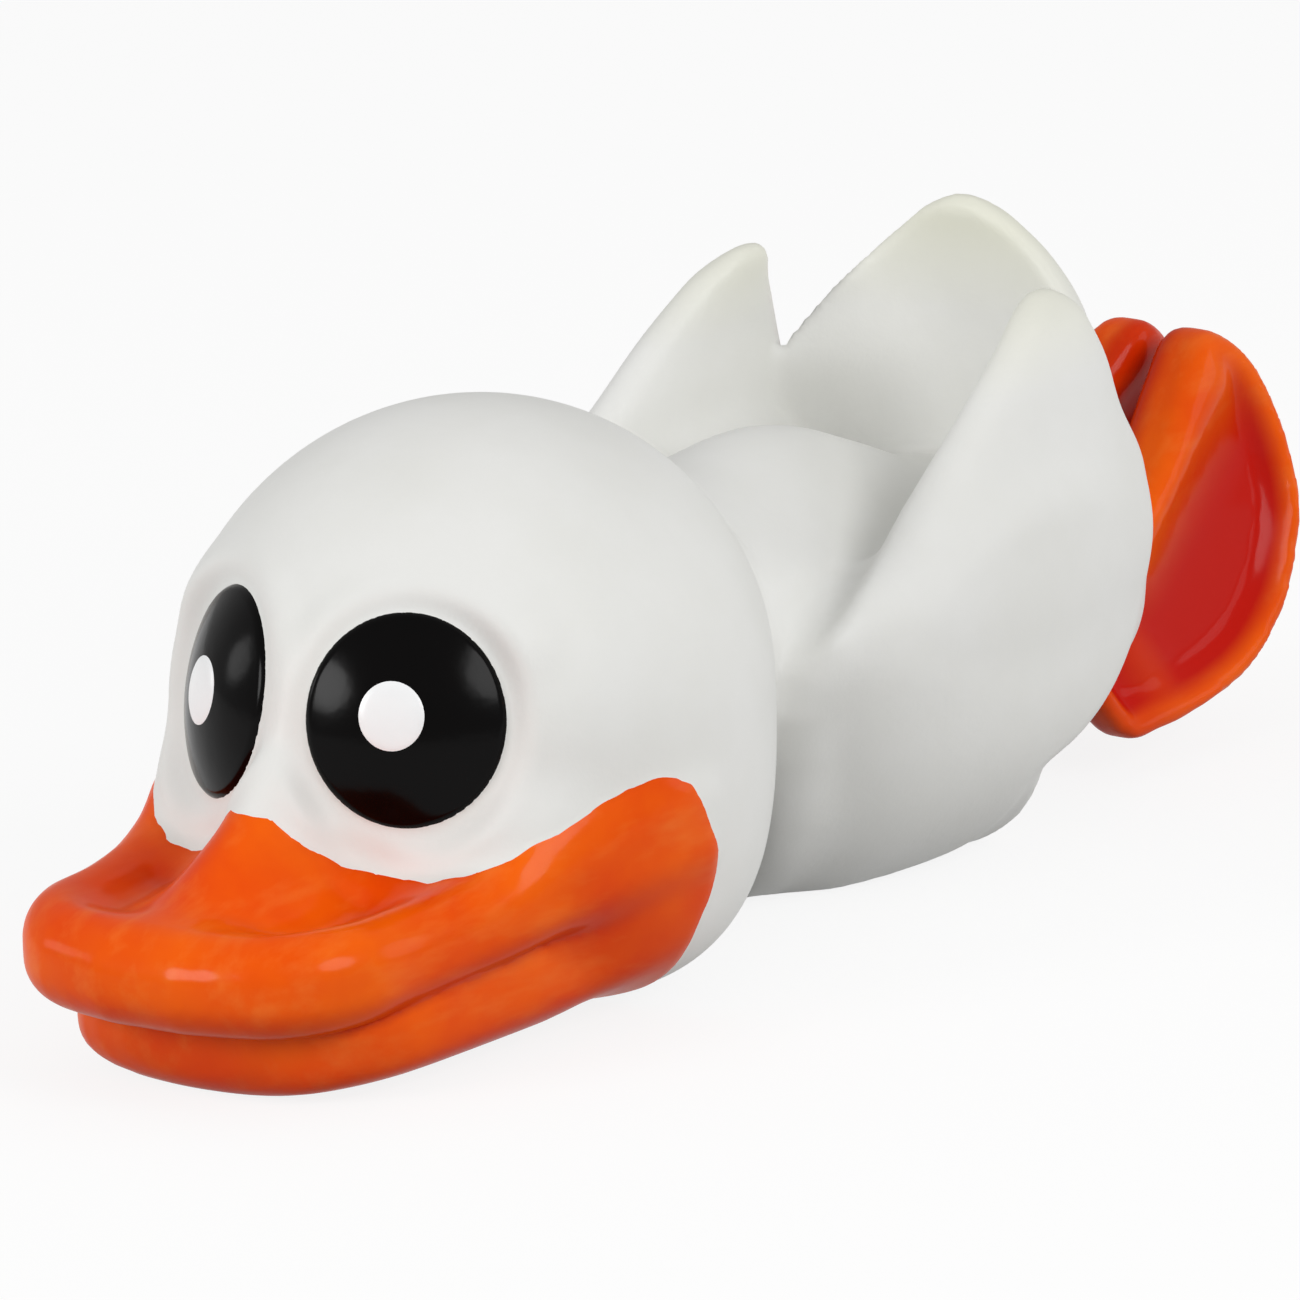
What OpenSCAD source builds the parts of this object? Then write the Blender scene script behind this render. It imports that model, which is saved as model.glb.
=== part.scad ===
// A soft moulded duck toy with a squeaker in its belly. Millimetres.
// The duck faces -Y, its left side is +X, and it lies on the plane Z = 0.

/* [Head] */
// Width of the head
head_width = 43; // [36:0.5:50]
// Length of the head from brow to nape
head_length = 46; // [40:0.5:52]
// Height of the top of the head above the ground
head_height = 43.8; // [39:0.2:50]
// Bulge of the muzzle between the eyes and the bill
muzzle = 4.6; // [1:0.2:6]
// Squareness of the jowls, where 2 is an even oval
jowl_square = 3.9; // [2:0.1:5]

/* [Trunk] */
// Length from the neck to the rear of the rump
trunk_length = 49; // [44:0.5:56]
// Width across the flanks
trunk_width = 39; // [34:0.5:44]
// Height of the hump on the back
trunk_height = 33.7; // [30:0.2:38]
// Height of the hump above the shoulders beside it
hump_rise = 7.6; // [4:0.2:9]
// Distance from the middle at which the hump has nearly run out
hump_side = 9; // [7:0.2:11]
// Height of the rump's underside behind the flanks
rump_rise = 9; // [6:0.5:11]

/* [Skin] */
// Thickness of the moulded skin
skin_wall = 2; // [1.6:0.1:2.6]
// Space left between the skin and the filling
filling_gap = 0.7; // [0.3:0.1:1]

/* [Wings] */
// Height of the wing tip above the ground
wing_height = 41.8; // [37:0.2:46]
// Thickness of the wing where it leaves the flank
wing_thick = 5; // [3.5:0.1:6.5]

/* [Tail] */
// Height of the tail tip above the ground
tail_height = 45.2; // [40:0.2:50]
// Width of the tail where it leaves the rump
tail_width = 32.4; // [26:0.2:36]
// Thickness of the tail where it leaves the rump
tail_thick = 5; // [3.5:0.1:6.5]
// Depth of the hollow in front of the tail
tail_dish = 10; // [6:0.5:12]

/* [Bill] */
// Reach of the bill in front of the head
bill_length = 19; // [15:0.5:25]
// Width of the bill in front of the face
bill_width = 34; // [30:0.5:37]
// Height of the line between the two halves of the bill at the tip
lip_height = 7.5; // [6:0.1:9]
// Thickness of the rolled edge of the upper half
lip_thick = 5.6; // [4.5:0.1:7]
// Height of the ridge down the middle of the upper half
ridge_height = 6; // [4:0.2:7]
// Distance that the lower half stays behind the upper half at the tip
lower_set = 5.4; // [3:0.2:7]

/* [Eyes] */
// Width of the eye
eye_width = 15; // [11:0.2:16]
// Height of the eye
eye_height = 16.4; // [12:0.2:18]
// Height of the middle of the eye above the middle of the head
eye_up = 3.8; // [2:0.2:6]
// Height that the eye stands out from the face
eye_rise = 1; // [0.7:0.1:1.5]
// Width of the white dot on the eye
dot_width = 5; // [3.5:0.1:6.5]
// Height that the dot stands out from the eye
dot_rise = 0.35; // [0.2:0.05:0.6]

/* [Feet] */
// Reach of the feet behind the rump
foot_reach = 23; // [18:0.5:28]
// Height of the foot from edge to edge
foot_height = 26.2; // [22:0.2:29]
// Height of the lower edge of the foot above the ground
foot_sink = 3.6; // [2:0.1:5.4]
// Thickness of the rim of the foot
foot_thick = 4; // [3:0.1:5]
// Distance of the foot's web from the middle of the toy
foot_side = 4.4; // [3.6:0.1:6]

/* [Squeaker] */
// Width of the disc under the belly
disc_width = 13; // [12:0.2:14]
// Width of the tube of the case
tube_width = 8.6; // [8:0.1:9.4]
// Thickness of the wall of the tube
tube_wall = 1; // [0.7:0.1:1.2]
// Height of the tube above the skin
tube_height = 9; // [7:0.2:12]
// Width of the air hole
air_hole = 3; // [2:0.1:3.6]
// Thickness of the reed tongue
reed_thick = 0.2; // [0.15:0.05:0.4]
// Width of the reed tongue
reed_width = 3.6; // [3:0.1:4.2]

/* [Hidden] */
$fn = 48;
skin = [0.87, 0.87, 0.85];
orange = [0.91, 0.32, 0.08];
black = [0.03, 0.02, 0.02];
chalk = [0.97, 0.97, 0.97];
wool = [0.93, 0.93, 0.9];
plastic = [0.9, 0.9, 0.86];
brass_film = [0.8, 0.78, 0.7];

// Places along the length, measured from the middle of the whole toy.
neck_turn = 144;
head_to_neck = head_length / 2 * (1 - cos(neck_turn));
overall = bill_length + head_to_neck + trunk_length + foot_reach;
tip_y = -overall / 2;
brow_y = tip_y + bill_length;
head_y = brow_y + head_length / 2;
neck_y = brow_y + head_to_neck;
rump_y = neck_y + trunk_length;
heel_y = rump_y + foot_reach;
chin_gap = 0.2;
head_z = (head_height + chin_gap) / 2;
head_r = (head_height - chin_gap) / 2;

// Smooth curve through a short list of [place, value] stations.
function station(t, T, i = 0) = i >= len(T) - 2 || t < T[i + 1][0] ? i : station(t, T, i + 1);
function slope(T, i) =
    let (a = max(i - 1, 0), b = min(i + 1, len(T) - 1))
    (T[b][1] - T[a][1]) / (T[b][0] - T[a][0]);
function curve(T, t) =
    let (i = station(t, T), h = T[i + 1][0] - T[i][0], u = min(max((t - T[i][0]) / h, 0), 1))
    T[i][1] * (1 + 2 * u) * (1 - u) * (1 - u) + slope(T, i) * h * u * (1 - u) * (1 - u)
    + T[i + 1][1] * u * u * (3 - 2 * u) - slope(T, i + 1) * h * u * u * (1 - u);

// One ring across the length: half width, middle, top, bottom, a floor and the squareness of its lower half.
oval = 2;
function squared(v, square) = sign(v) * pow(abs(v), oval / square);
function ring_y(y, w, mid, top, low, floor, n, square = oval) =
    [for (i = [0:n - 1]) let (a = 360 * i / n, s = sin(a), c = cos(a))
        s > 0 ? [w * c, y, max(floor, mid + (top - mid) * s)]
        : [w * squared(c, square), y, max(floor, mid + (mid - low) * squared(s, square))]];
function turned(L) = [for (i = [len(L) - 1:-1:0]) L[i]];
function after(L) = [for (i = [1:len(L) - 1]) L[i]];
function from(L, first) = [for (i = [first:2:len(L) - 1]) L[i]];
function middle(R) = [for (k = [0:2]) (min([for (p = R) p[k]]) + max([for (p = R) p[k]])) / 2];

// The same shape on the duck's left side, or mirrored to its right side.
module on_side(left) {
    if (left) children();
    else mirror([1, 0, 0]) children();
}

// Skin over a row of rings, closed to a point at each end.
module loft(rings, first, last) {
    n = len(rings[0]);
    m = len(rings);
    points = concat([first], [for (r = rings) each r], [last]);
    sides = [for (k = [0:m - 2]) for (i = [0:n - 1])
        let (a = 1 + k * n + i, b = 1 + k * n + (i + 1) % n)
        each [[a, b, a + n], [b, b + n, a + n]]];
    front = [for (i = [0:n - 1]) [0, 1 + (i + 1) % n, 1 + i]];
    back = [for (i = [0:n - 1]) let (e = 1 + (m - 1) * n) [e + i, e + (i + 1) % n, 1 + m * n]];
    polyhedron(points, concat(front, sides, back), convexity = 6);
}

// Head, an egg with a muzzle, cut off flat at the neck.
body_sides = 24;
head_rings = 14;
muzzle_wide = 4.6;
muzzle_tall = 5.6;
muzzle_drop = 4.6;
function muzzled(p, turn) =
    let (a = p[0] / muzzle_wide, b = (p[2] - head_z + muzzle_drop) / muzzle_tall)
    p - [0, muzzle * max(0, cos(turn)) * exp(-a * a - b * b), 0];
face_full = 0.88;
jowl_share = [[0, 0], [0.3, 0.5], [0.55, 1], [0.8, 0.95], [0.93, 0.4], [1, 0]];
function face_half(turn) = pow(sin(turn), turn < 90 ? face_full : 1);
function head_egg(turn, wall) =
    let (r = (head_r - wall) * sin(turn), jowl = curve(jowl_share, turn / neck_turn))
    ring_y(head_y - (head_length / 2 - wall) * cos(turn), (head_width / 2 - wall) * face_half(turn), head_z,
           head_z + r, head_z - r, chin_gap + wall, body_sides, oval + (jowl_square - oval) * jowl);
function head_ring(turn, wall) = [for (p = head_egg(turn, wall)) muzzled(p, turn)];
neck_r = head_r * sin(neck_turn);
function neck_ring(wall) =
    ring_y(neck_y, head_width / 2 * sin(neck_turn) - wall, head_z, head_z + neck_r - wall,
           head_z - neck_r + wall, chin_gap, body_sides);
function head_skin(wall) =
    concat([for (k = [1:head_rings - 1]) head_ring(neck_turn * k / head_rings, wall)], [neck_ring(wall)]);
function head_core(wall) = from(head_skin(wall), 1);
function head_tip(wall) = muzzled([0, brow_y + wall, head_z], 0);
module head_form() {
    loft(head_skin(0), head_tip(0), [0, neck_y, head_z]);
}
module head() {
    color(skin)
        loft(concat(head_skin(0), turned(head_core(skin_wall))), head_tip(0), head_tip(skin_wall));
}

// Trunk, from the neck to the rump, with a flat belly and a step behind the flanks.
belly_sink = 1.7;
core_least = 1;
trunk_half = [[0, 0.68], [0.1, 0.81], [0.22, 0.93], [0.36, 0.99], [0.52, 1], [0.68, 0.97], [0.82, 0.95],
              [1, 0.92]];
trunk_top = [[0, 1], [0.12, 0.985], [0.3, 1], [0.42, 0.97], [0.55, 0.895], [0.67, 0.82], [0.8, 0.79],
             [1, 0.79]];
trunk_mid = [[0, 1], [0.15, 0.86], [0.35, 0.7], [0.6, 0.66], [0.8, 0.72], [1, 0.84]];
hump_share = [[0, 0], [0.1, 0.46], [0.22, 0.92], [0.4, 1], [0.55, 0.66], [0.68, 0.13], [0.75, 0], [1, 0]];
shoulder = 3;
neck_drop = [[0, 1], [0.08, 0.5], [0.18, 0.12], [0.3, 0], [1, 0]];
belly_press = [[0, 0], [0.18, 0.4], [0.28, 1], [0.58, 1], [0.62, 1], [0.66, 0], [1, 0]];
rump_lift = [[0, 0], [0.6, 0], [0.62, 0], [0.66, 0.34], [0.78, 0.64], [1, 1]];
rump_start = 0.58;
rump_square = 2.6;
rump_mid = 0.84;
trunk_steps = [0.06, 0.12, 0.2, 0.28, 0.36, 0.44, 0.52, 0.57, 0.6, 0.62, 0.645, 0.67, 0.74, 0.82, 0.87, 0.915,
               0.95, 0.98];
function rump_end(s) =
    s < rump_start ? 1
    : pow(max(0, 1 - pow((s - rump_start) / (1 - rump_start), rump_square)), 1 / rump_square);
function trunk_low(s) =
    (head_z - neck_r) * curve(neck_drop, s) - belly_sink * curve(belly_press, s)
    + rump_rise * curve(rump_lift, s);
flank_back = 0.16;
flank_start = 0.35;
flank_power = 4;
function flank_step(x, s) =
    let (reach = min(max((s - flank_start) / flank_back, 0), 1))
    s + flank_back * pow(2 * x / trunk_width, flank_power) * reach;
function flanked(ring, s, mid) =
    [for (p = ring) let (deep = (mid - trunk_low(flank_step(p[0], s))) / (mid - trunk_low(s)))
        p[2] >= mid ? p : [p[0], p[1], mid - (mid - p[2]) * deep]];
function humped(ring, rise, mid) =
    [for (p = ring) let (share = min(max((p[2] - mid) / shoulder, 0), 1))
        p + [0, 0, rise * exp(-pow(p[0] / hump_side, 2)) * share]];
function trunk_ring(s, wall) =
    let (mid = head_z * curve(trunk_mid, s), e = rump_end(s),
         top = mid + (trunk_height * curve(trunk_top, s) - mid) * e,
         low = mid - (mid - trunk_low(s)) * e, hump = hump_rise * curve(hump_share, s),
         hoop = ring_y(neck_y + (trunk_length - wall) * s,
                       max(trunk_width / 2 * curve(trunk_half, s) * e - wall, core_least), mid,
                       max(top - hump - wall, mid + core_least), min(low + wall, mid - core_least),
                       wall > 0 ? wall : -belly_sink, body_sides))
    humped(flanked(hoop, s, mid), hump, mid);
function trunk_skin(wall) = concat([neck_ring(wall)], [for (s = trunk_steps) trunk_ring(s, wall)]);
function trunk_core(wall) = from(trunk_skin(wall), 0);
function rump_tip(wall) = [0, rump_y - wall, head_z * rump_mid];
module trunk_form() {
    loft(trunk_skin(0), [0, neck_y, head_z], rump_tip(0));
}
module trunk() {
    color(skin)
        difference() {
            loft(concat(turned(trunk_core(skin_wall)), trunk_skin(0)), rump_tip(skin_wall), rump_tip(0));
            squeaker_bore();
            translate([-trunk_width, neck_y, -2 * belly_sink])
                cube([2 * trunk_width, trunk_length, 2 * belly_sink]);
        }
}

// Wing, a leaf that leaves the flank and rises to a tip at the rear.
wing_root = 0.41;
wing_foot = head_z * wing_root;
wing_front = [[0, 0.22], [0.3, 0.06], [0.41, 0.06], [0.5, 0.14], [0.58, 0.225], [0.72, 0.365], [0.83, 0.47],
              [0.93, 0.575], [1, 0.64]];
wing_back = [[0, 0.6], [0.33, 0.84], [0.55, 0.85], [0.7, 0.805], [0.83, 0.78], [0.93, 0.752], [1, 0.74]];
wing_place = [[0, 0.72], [0.35, 0.8], [0.6, 0.81], [0.72, 0.8], [0.83, 0.79], [0.93, 0.755], [1, 0.69]];
wing_taper = [[0, 1.5], [0.35, 1.3], [0.6, 1.05], [0.8, 0.85], [1, 0.6]];
wing_outer = [[0, 1], [0.2, 1.05], [0.4, 1.3], [0.6, 1.3], [0.8, 1.1], [1, 1]];
wing_sides = 14;
wing_steps = [0, 0.14, 0.28, 0.4, 0.5, 0.6, 0.7, 0.8, 0.88, 0.93, 0.965, 0.985, 0.996];
tip_start = 0.93;
function tip_end(h) = h < tip_start ? 1 : sqrt(max(0, 1 - pow((h - tip_start) / (1 - tip_start), 2)));
function wing_ring(h) =
    let (f = neck_y + trunk_length * curve(wing_front, h), b = neck_y + trunk_length * curve(wing_back, h),
         x = trunk_width / 2 * curve(wing_place, h), t = wing_thick * curve(wing_taper, h) * tip_end(h),
         z = wing_foot + (wing_height - wing_foot) * h)
    [for (i = [0:wing_sides - 1]) let (a = 360 * i / wing_sides, full = sin(a) < 0 ? curve(wing_outer, h) : 1)
        [x - t / 2 * sin(a) * full, (f + b) / 2 - (b - f) / 2 * tip_end(h) * cos(a), z]];
module wing_form() {
    rings = [for (h = wing_steps) wing_ring(h)];
    end = middle(rings[len(rings) - 1]);
    loft(rings, middle(rings[0]), [end[0], end[1], wing_height]);
}
module wing(left) {
    color(skin)
        difference() {
            on_side(left) wing_form();
            trunk_form();
        }
}
module wing_left() {
    wing(true);
}
module wing_right() {
    wing(false);
}

// Tail, a cupped petal that rises from the rump between the wings.
tail_sit = 2;
tail_foot = head_z * rump_mid + tail_sit;
tail_lean = 5.2;
tail_half = [[0, 1], [0.25, 1], [0.46, 0.87], [0.66, 0.71], [0.83, 0.45], [0.95, 0.22], [1, 0.14]];
tail_rear = [[0, -0.06], [0.25, -0.08], [0.48, 0.04], [0.66, 0.27], [0.83, 0.58], [1, 1]];
tail_cup = [[0, 0.85], [0.25, 1], [0.46, 0.96], [0.66, 0.44], [0.83, 0.14], [1, 0]];
tail_taper = [[0, 1.15], [0.25, 1.1], [0.48, 1], [0.77, 0.75], [1, 0.5]];
tail_steps = [0, 0.12, 0.25, 0.36, 0.46, 0.56, 0.66, 0.75, 0.84, 0.92, 0.965, 0.985, 0.996];
tail_sides = 18;
function tail_ring(h) =
    let (w = tail_width / 2 * curve(tail_half, h) * tip_end(h),
         t = tail_thick * curve(tail_taper, h) * tip_end(h),
         y = rump_y - tail_lean * curve(tail_rear, h) - t / 2, cup = tail_dish * curve(tail_cup, h),
         z = tail_foot + (tail_height - tail_foot) * h)
    [for (i = [0:tail_sides - 1]) let (a = 360 * i / tail_sides, u = cos(a))
        [w * u, y - cup * u * u - t / 2 * sin(a), z]];
module tail_form() {
    rings = [for (h = tail_steps) tail_ring(h)];
    end = middle(rings[len(rings) - 1]);
    loft(rings, middle(rings[0]), [0, end[1], tail_height]);
}
module tail() {
    color(skin)
        difference() {
            tail_form();
            trunk_form();
            on_side(true) wing_form();
            on_side(false) wing_form();
        }
}

// Bill, two flat spoons that wrap round the front of the head.
bill_reach = head_y - tip_y;
bill_sides = 24;
bill_nose = 0.3;
upper_wrap = 1.1;
upper_half = [[0, 0.2], [0.03, 0.55], [0.09, 0.79], [0.19, 0.93], [0.3, 0.95], [0.45, 1.01], [1, 1.1]];
upper_cheek = [[0, 0.9], [0.6, 0.93], [0.85, 1], [0.94, 1], [1, 0.95]];
cheek_share = [[0, 0], [0.4, 0], [0.55, 0.45], [0.75, 1], [1, 1]];
function bill_half(own, cheek, s) =
    let (c = min(max(curve(cheek_share, s), 0), 1))
    bill_width / 2 * curve(own, s) * (1 - c) + head_width / 2 * curve(cheek, s) * c;
upper_top = [[0, 0.62], [0.05, 0.94], [0.15, 1.02], [0.45, 1.1], [0.7, 1.6], [0.9, 2.45], [1, 2.3]];
upper_low = [[0, 0.98], [0.04, 0.8], [0.3, 0.82], [0.5, 0.95], [0.7, 1.2], [1, 1.5]];
bill_ridge = [[0, 0], [0.12, 0.1], [0.33, 0.93], [0.5, 1], [1, 0]];
ridge_width = 6;
corner_start = 0.86;
corner_end = 1.02;
upper_steps = [0.008, 0.03, 0.06, 0.1, 0.16, 0.24, 0.32, 0.4, 0.5, 0.6, 0.7, 0.8, 0.88, 0.94, 0.98, 1];
function corner(s) =
    s < corner_start ? 1 : sqrt(1 - pow((s - corner_start) / (corner_end - corner_start), 2));
function flat_sin(a) = sign(sin(a)) * sqrt(abs(sin(a)));
function upper_ring(s) =
    let (w = bill_half(upper_half, upper_cheek, s), low = lip_height * curve(upper_low, s),
         top = lip_height + lip_thick * curve(upper_top, s), mid = (low + top) / 2,
         deep = (top - low) / 2 * corner(s), ridge = ridge_height * curve(bill_ridge, s),
         y = tip_y + bill_nose + (bill_reach * upper_wrap - bill_nose) * s)
    [for (i = [0:bill_sides - 1]) let (a = 360 * i / bill_sides, x = w * cos(a))
        [x, y, mid + deep * flat_sin(a) + (sin(a) > 0 ? ridge * exp(-pow(x / ridge_width, 2)) : 0)]];
module upper_form() {
    rings = [for (s = upper_steps) upper_ring(s)];
    first = middle(rings[0]);
    loft(rings, [0, tip_y, first[2]], middle(rings[len(rings) - 1]) + [0, bill_nose, 0]);
}
module upper_bill() {
    color(orange)
        difference() {
            upper_form();
            head_form();
        }
}

lower_wrap = 1.08;
chin_lift = 5;
lip_climb = 1.1;
lower_half = [[0, 0.3], [0.03, 0.56], [0.07, 0.72], [0.16, 0.86], [0.3, 0.92], [0.6, 0.98], [1, 1]];
lower_cheek = [[0, 0.75], [0.6, 0.79], [0.85, 0.885], [1, 0.89]];
lower_floor = [[0, 0.36], [0.03, 0.1], [0.07, 0], [0.6, 0], [0.8, 0.32], [1, 1]];
lower_steps = [0.01, 0.04, 0.08, 0.14, 0.22, 0.32, 0.44, 0.56, 0.68, 0.8, 0.9, 0.97];
function lower_ring(s) =
    let (w = bill_half(lower_half, lower_cheek, s), low = max(0, chin_lift * curve(lower_floor, s)),
         top = lip_height * (1.05 + lip_climb * s), mid = (low + top) / 2,
         y = tip_y + lower_set + (bill_reach * lower_wrap - lower_set) * s)
    [for (i = [0:bill_sides - 1]) let (a = 360 * i / bill_sides)
        [w * cos(a), y, mid + (top - low) / 2 * flat_sin(a)]];
module lower_form() {
    rings = [for (s = lower_steps) lower_ring(s)];
    loft(rings, middle(rings[0]) - [0, bill_nose, 0], middle(rings[len(rings) - 1]) + [0, bill_nose, 0]);
}
module lower_bill() {
    color(orange)
        difference() {
            lower_form();
            head_form();
            upper_form();
        }
}

// Eye, a shallow dome on the face, with a round dot near its middle.
eye_round = 25.7;
eye_turn = 32;
eye_tilt = 12.6;
eye_deep = 2.6;
eye_lift = eye_up / (head_r * sin(eye_round));
eye_place = [head_width / 2 * face_half(eye_round) * sqrt(1 - eye_lift * eye_lift),
             head_y - head_length / 2 * cos(eye_round), head_z + eye_up];
dot_shift = [0, 0, 0.3];
dot_deep = 0.8;
dot_tall = 1.06;
module dome(w, h, deep, sides, rings) {
    levels = [for (k = [1:rings - 1]) let (t = 180 * k / rings)
        [for (i = [0:sides - 1]) let (a = 360 * i / sides)
            [w / 2 * sin(t) * cos(a), -deep * cos(t), h / 2 * sin(t) * sin(a)]]];
    loft(levels, [0, -deep, 0], [0, deep, 0]);
}
module on_eye(rise, deep) {
    translate(eye_place)
        rotate([0, 0, eye_turn])
        rotate([-eye_tilt, 0, 0])
        translate([0, deep - rise, 0])
        children();
}
module eye_form() {
    on_eye(eye_rise, eye_deep) dome(eye_width, eye_height, eye_deep, 20, 10);
}
module eye(left) {
    color(black)
        difference() {
            on_side(left) eye_form();
            head_form();
            upper_form();
        }
}
module eye_dot(left) {
    color(chalk)
        on_side(left)
        difference() {
            on_eye(eye_rise + dot_rise, dot_deep)
                translate(dot_shift) dome(dot_width, dot_width * dot_tall, dot_deep, 14, 6);
            eye_form();
        }
}
module eye_left() {
    eye(true);
}
module eye_right() {
    eye(false);
}
module eye_dot_left() {
    eye_dot(true);
}
module eye_dot_right() {
    eye_dot(false);
}

// Foot, a dished fan-shaped paddle behind the rump.
foot_root = 0.6;
foot_mid = (rump_y - foot_root + heel_y) / 2;
foot_long = (heel_y - rump_y + foot_root) / 2;
foot_dish = 2.2;
foot_lean = 0.17;
foot_web = 0.65;
foot_edge = [[0, 1], [17, 1.04], [40, 1.1], [60, 1.1], [73, 1.03], [90, 0.79], [136, 0.6], [160, 0.85],
             [180, 1.25], [200, 1.45], [220, 1.43], [234, 1.26], [252, 0.99], [285, 0.84], [322, 0.9],
             [353, 1], [360, 1]];
foot_sides = 22;
foot_rows = [0.3, 0.55, 0.75, 0.88, 0.96];
function foot_fan(a) = curve(foot_edge, a);
function foot_level(u, a, face) =
    let (y = foot_long * u * cos(a) * foot_fan(a), z = foot_height / 2 * u * sin(a) * foot_fan(a),
         t = foot_thick / 2 * (foot_web + (1 - foot_web) * pow(u, 3)) * sqrt(max(0, 1 - pow(u, 10))))
    [foot_side + foot_dish * u * u - foot_lean * z + face * t, foot_mid + y, foot_sink + foot_height / 2 + z];
function foot_round(u, face) = [for (i = [0:foot_sides - 1]) foot_level(u, 360 * i / foot_sides, face)];
module foot_form() {
    rings = concat([for (u = foot_rows) foot_round(u, 1)], [foot_round(1, 0)],
                   [for (u = turned(foot_rows)) foot_round(u, -1)]);
    loft(rings, foot_level(0, 0, 1), foot_level(0, 0, -1));
}
module foot(left) {
    color(orange)
        difference() {
            on_side(left) foot_form();
            trunk_form();
            tail_form();
        }
}
module foot_left() {
    foot(true);
}
module foot_right() {
    foot(false);
}

// Squeaker, pressed into a grooved hole in the belly.
squeak_place = 0.45;
squeak_y = neck_y + trunk_length * squeak_place;
disc_thick = 0.8;
disc_set = 0.3;
press_gap = 0.05;
cut_past = 1;
waist_step = 0.6;
collar_step = 1.7;
waist_width = tube_width + 2 * waist_step;
collar_width = tube_width + 2 * collar_step;
collar_thick = 0.8;
waist_low = disc_set + disc_thick;
collar_low = skin_wall + press_gap;
tube_low = collar_low + collar_thick;
tube_top = tube_low + tube_height;
module squeaker_bore() {
    translate([0, squeak_y, -cut_past])
        cylinder(d = disc_width + 2 * press_gap, h = cut_past + waist_low + press_gap);
    translate([0, squeak_y, -cut_past])
        cylinder(d = waist_width + 2 * press_gap, h = skin_wall + 2 * cut_past);
}
module squeaker_case() {
    color(plastic)
        translate([0, squeak_y, 0])
        rotate_extrude()
        polygon([[air_hole / 2, disc_set], [disc_width / 2, disc_set], [disc_width / 2, waist_low],
                 [waist_width / 2, waist_low], [waist_width / 2, collar_low], [collar_width / 2, collar_low],
                 [collar_width / 2, tube_low], [tube_width / 2, tube_low], [tube_width / 2, tube_top],
                 [tube_width / 2 - tube_wall, tube_top], [tube_width / 2 - tube_wall, tube_low],
                 [air_hole / 2, tube_low]]);
}
core_r = tube_width / 2 - tube_wall - press_gap;
root_height = 2.4;
reed_root = 0.6;
reed_end_gap = 0.8;
lap = 0.6;
clamp_low = tube_top - root_height;
reed_low = tube_low + reed_end_gap;
channel_width = reed_width - 2 * lap;
channel_deep = core_r * 0.55;
module half_core(low, high, front) {
    face = reed_thick / 2 + press_gap;
    intersection() {
        translate([0, squeak_y, low]) cylinder(r = core_r, h = high - low);
        translate([-core_r, front ? squeak_y - 2 * core_r - face : squeak_y + face, low])
            cube([2 * core_r, 2 * core_r, high - low]);
    }
}
module squeaker_holder() {
    color(plastic)
        difference() {
            half_core(tube_low, tube_top, true);
            translate([-channel_width / 2, squeak_y - channel_deep, tube_low - cut_past])
                cube([channel_width, 2 * channel_deep, clamp_low - tube_low + cut_past]);
        }
}
module squeaker_clamp() {
    color(plastic)
        intersection() {
            half_core(clamp_low, tube_top, false);
            translate([-reed_width / 2 - lap, squeak_y - core_r, clamp_low])
                cube([reed_width + 2 * lap, 2 * core_r, root_height]);
        }
}
module squeaker_reed() {
    color(brass_film)
        translate([-reed_width / 2, squeak_y - reed_thick / 2, reed_low])
        cube([reed_width, reed_thick, clamp_low + reed_root - reed_low]);
}

// Filling, one soft core through the head, the neck and the trunk.
core_wall = skin_wall + filling_gap;
module filling() {
    color(wool)
        difference() {
            loft(concat(head_core(core_wall), after(trunk_core(core_wall))), head_tip(core_wall),
                 rump_tip(core_wall));
            translate([0, squeak_y, 0])
                cylinder(d = collar_width + 2 * filling_gap, h = tube_top + filling_gap);
        }
}

trunk();
head();
wing_left();
wing_right();
tail();
upper_bill();
lower_bill();
eye_left();
eye_right();
eye_dot_left();
eye_dot_right();
foot_left();
foot_right();
filling();
squeaker_case();
squeaker_holder();
squeaker_reed();
squeaker_clamp();
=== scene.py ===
import math

import bpy
import numpy as np
import openvdb
from mathutils import Matrix, Vector


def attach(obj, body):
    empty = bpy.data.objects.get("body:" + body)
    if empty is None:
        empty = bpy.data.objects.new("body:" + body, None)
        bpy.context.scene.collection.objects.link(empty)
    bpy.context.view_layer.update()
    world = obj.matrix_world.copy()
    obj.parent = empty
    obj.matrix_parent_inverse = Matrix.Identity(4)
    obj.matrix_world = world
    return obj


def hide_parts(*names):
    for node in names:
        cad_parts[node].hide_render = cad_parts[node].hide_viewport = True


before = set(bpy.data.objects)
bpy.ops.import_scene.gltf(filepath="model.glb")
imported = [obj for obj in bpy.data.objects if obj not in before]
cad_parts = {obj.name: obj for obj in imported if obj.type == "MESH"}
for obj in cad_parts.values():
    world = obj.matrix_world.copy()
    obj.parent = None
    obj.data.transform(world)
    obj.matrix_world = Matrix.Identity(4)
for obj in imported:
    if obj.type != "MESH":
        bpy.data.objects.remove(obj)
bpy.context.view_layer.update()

# A soft moulded duck. It faces -y, its left side is +x, and it lies on the plane z = 0. The skin is one
# casting, so its forms are distance fields on one grid, melted together and then meshed. Lengths are in
# millimetres up to to_object(), which makes objects in metres.
MM = 0.001

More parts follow.
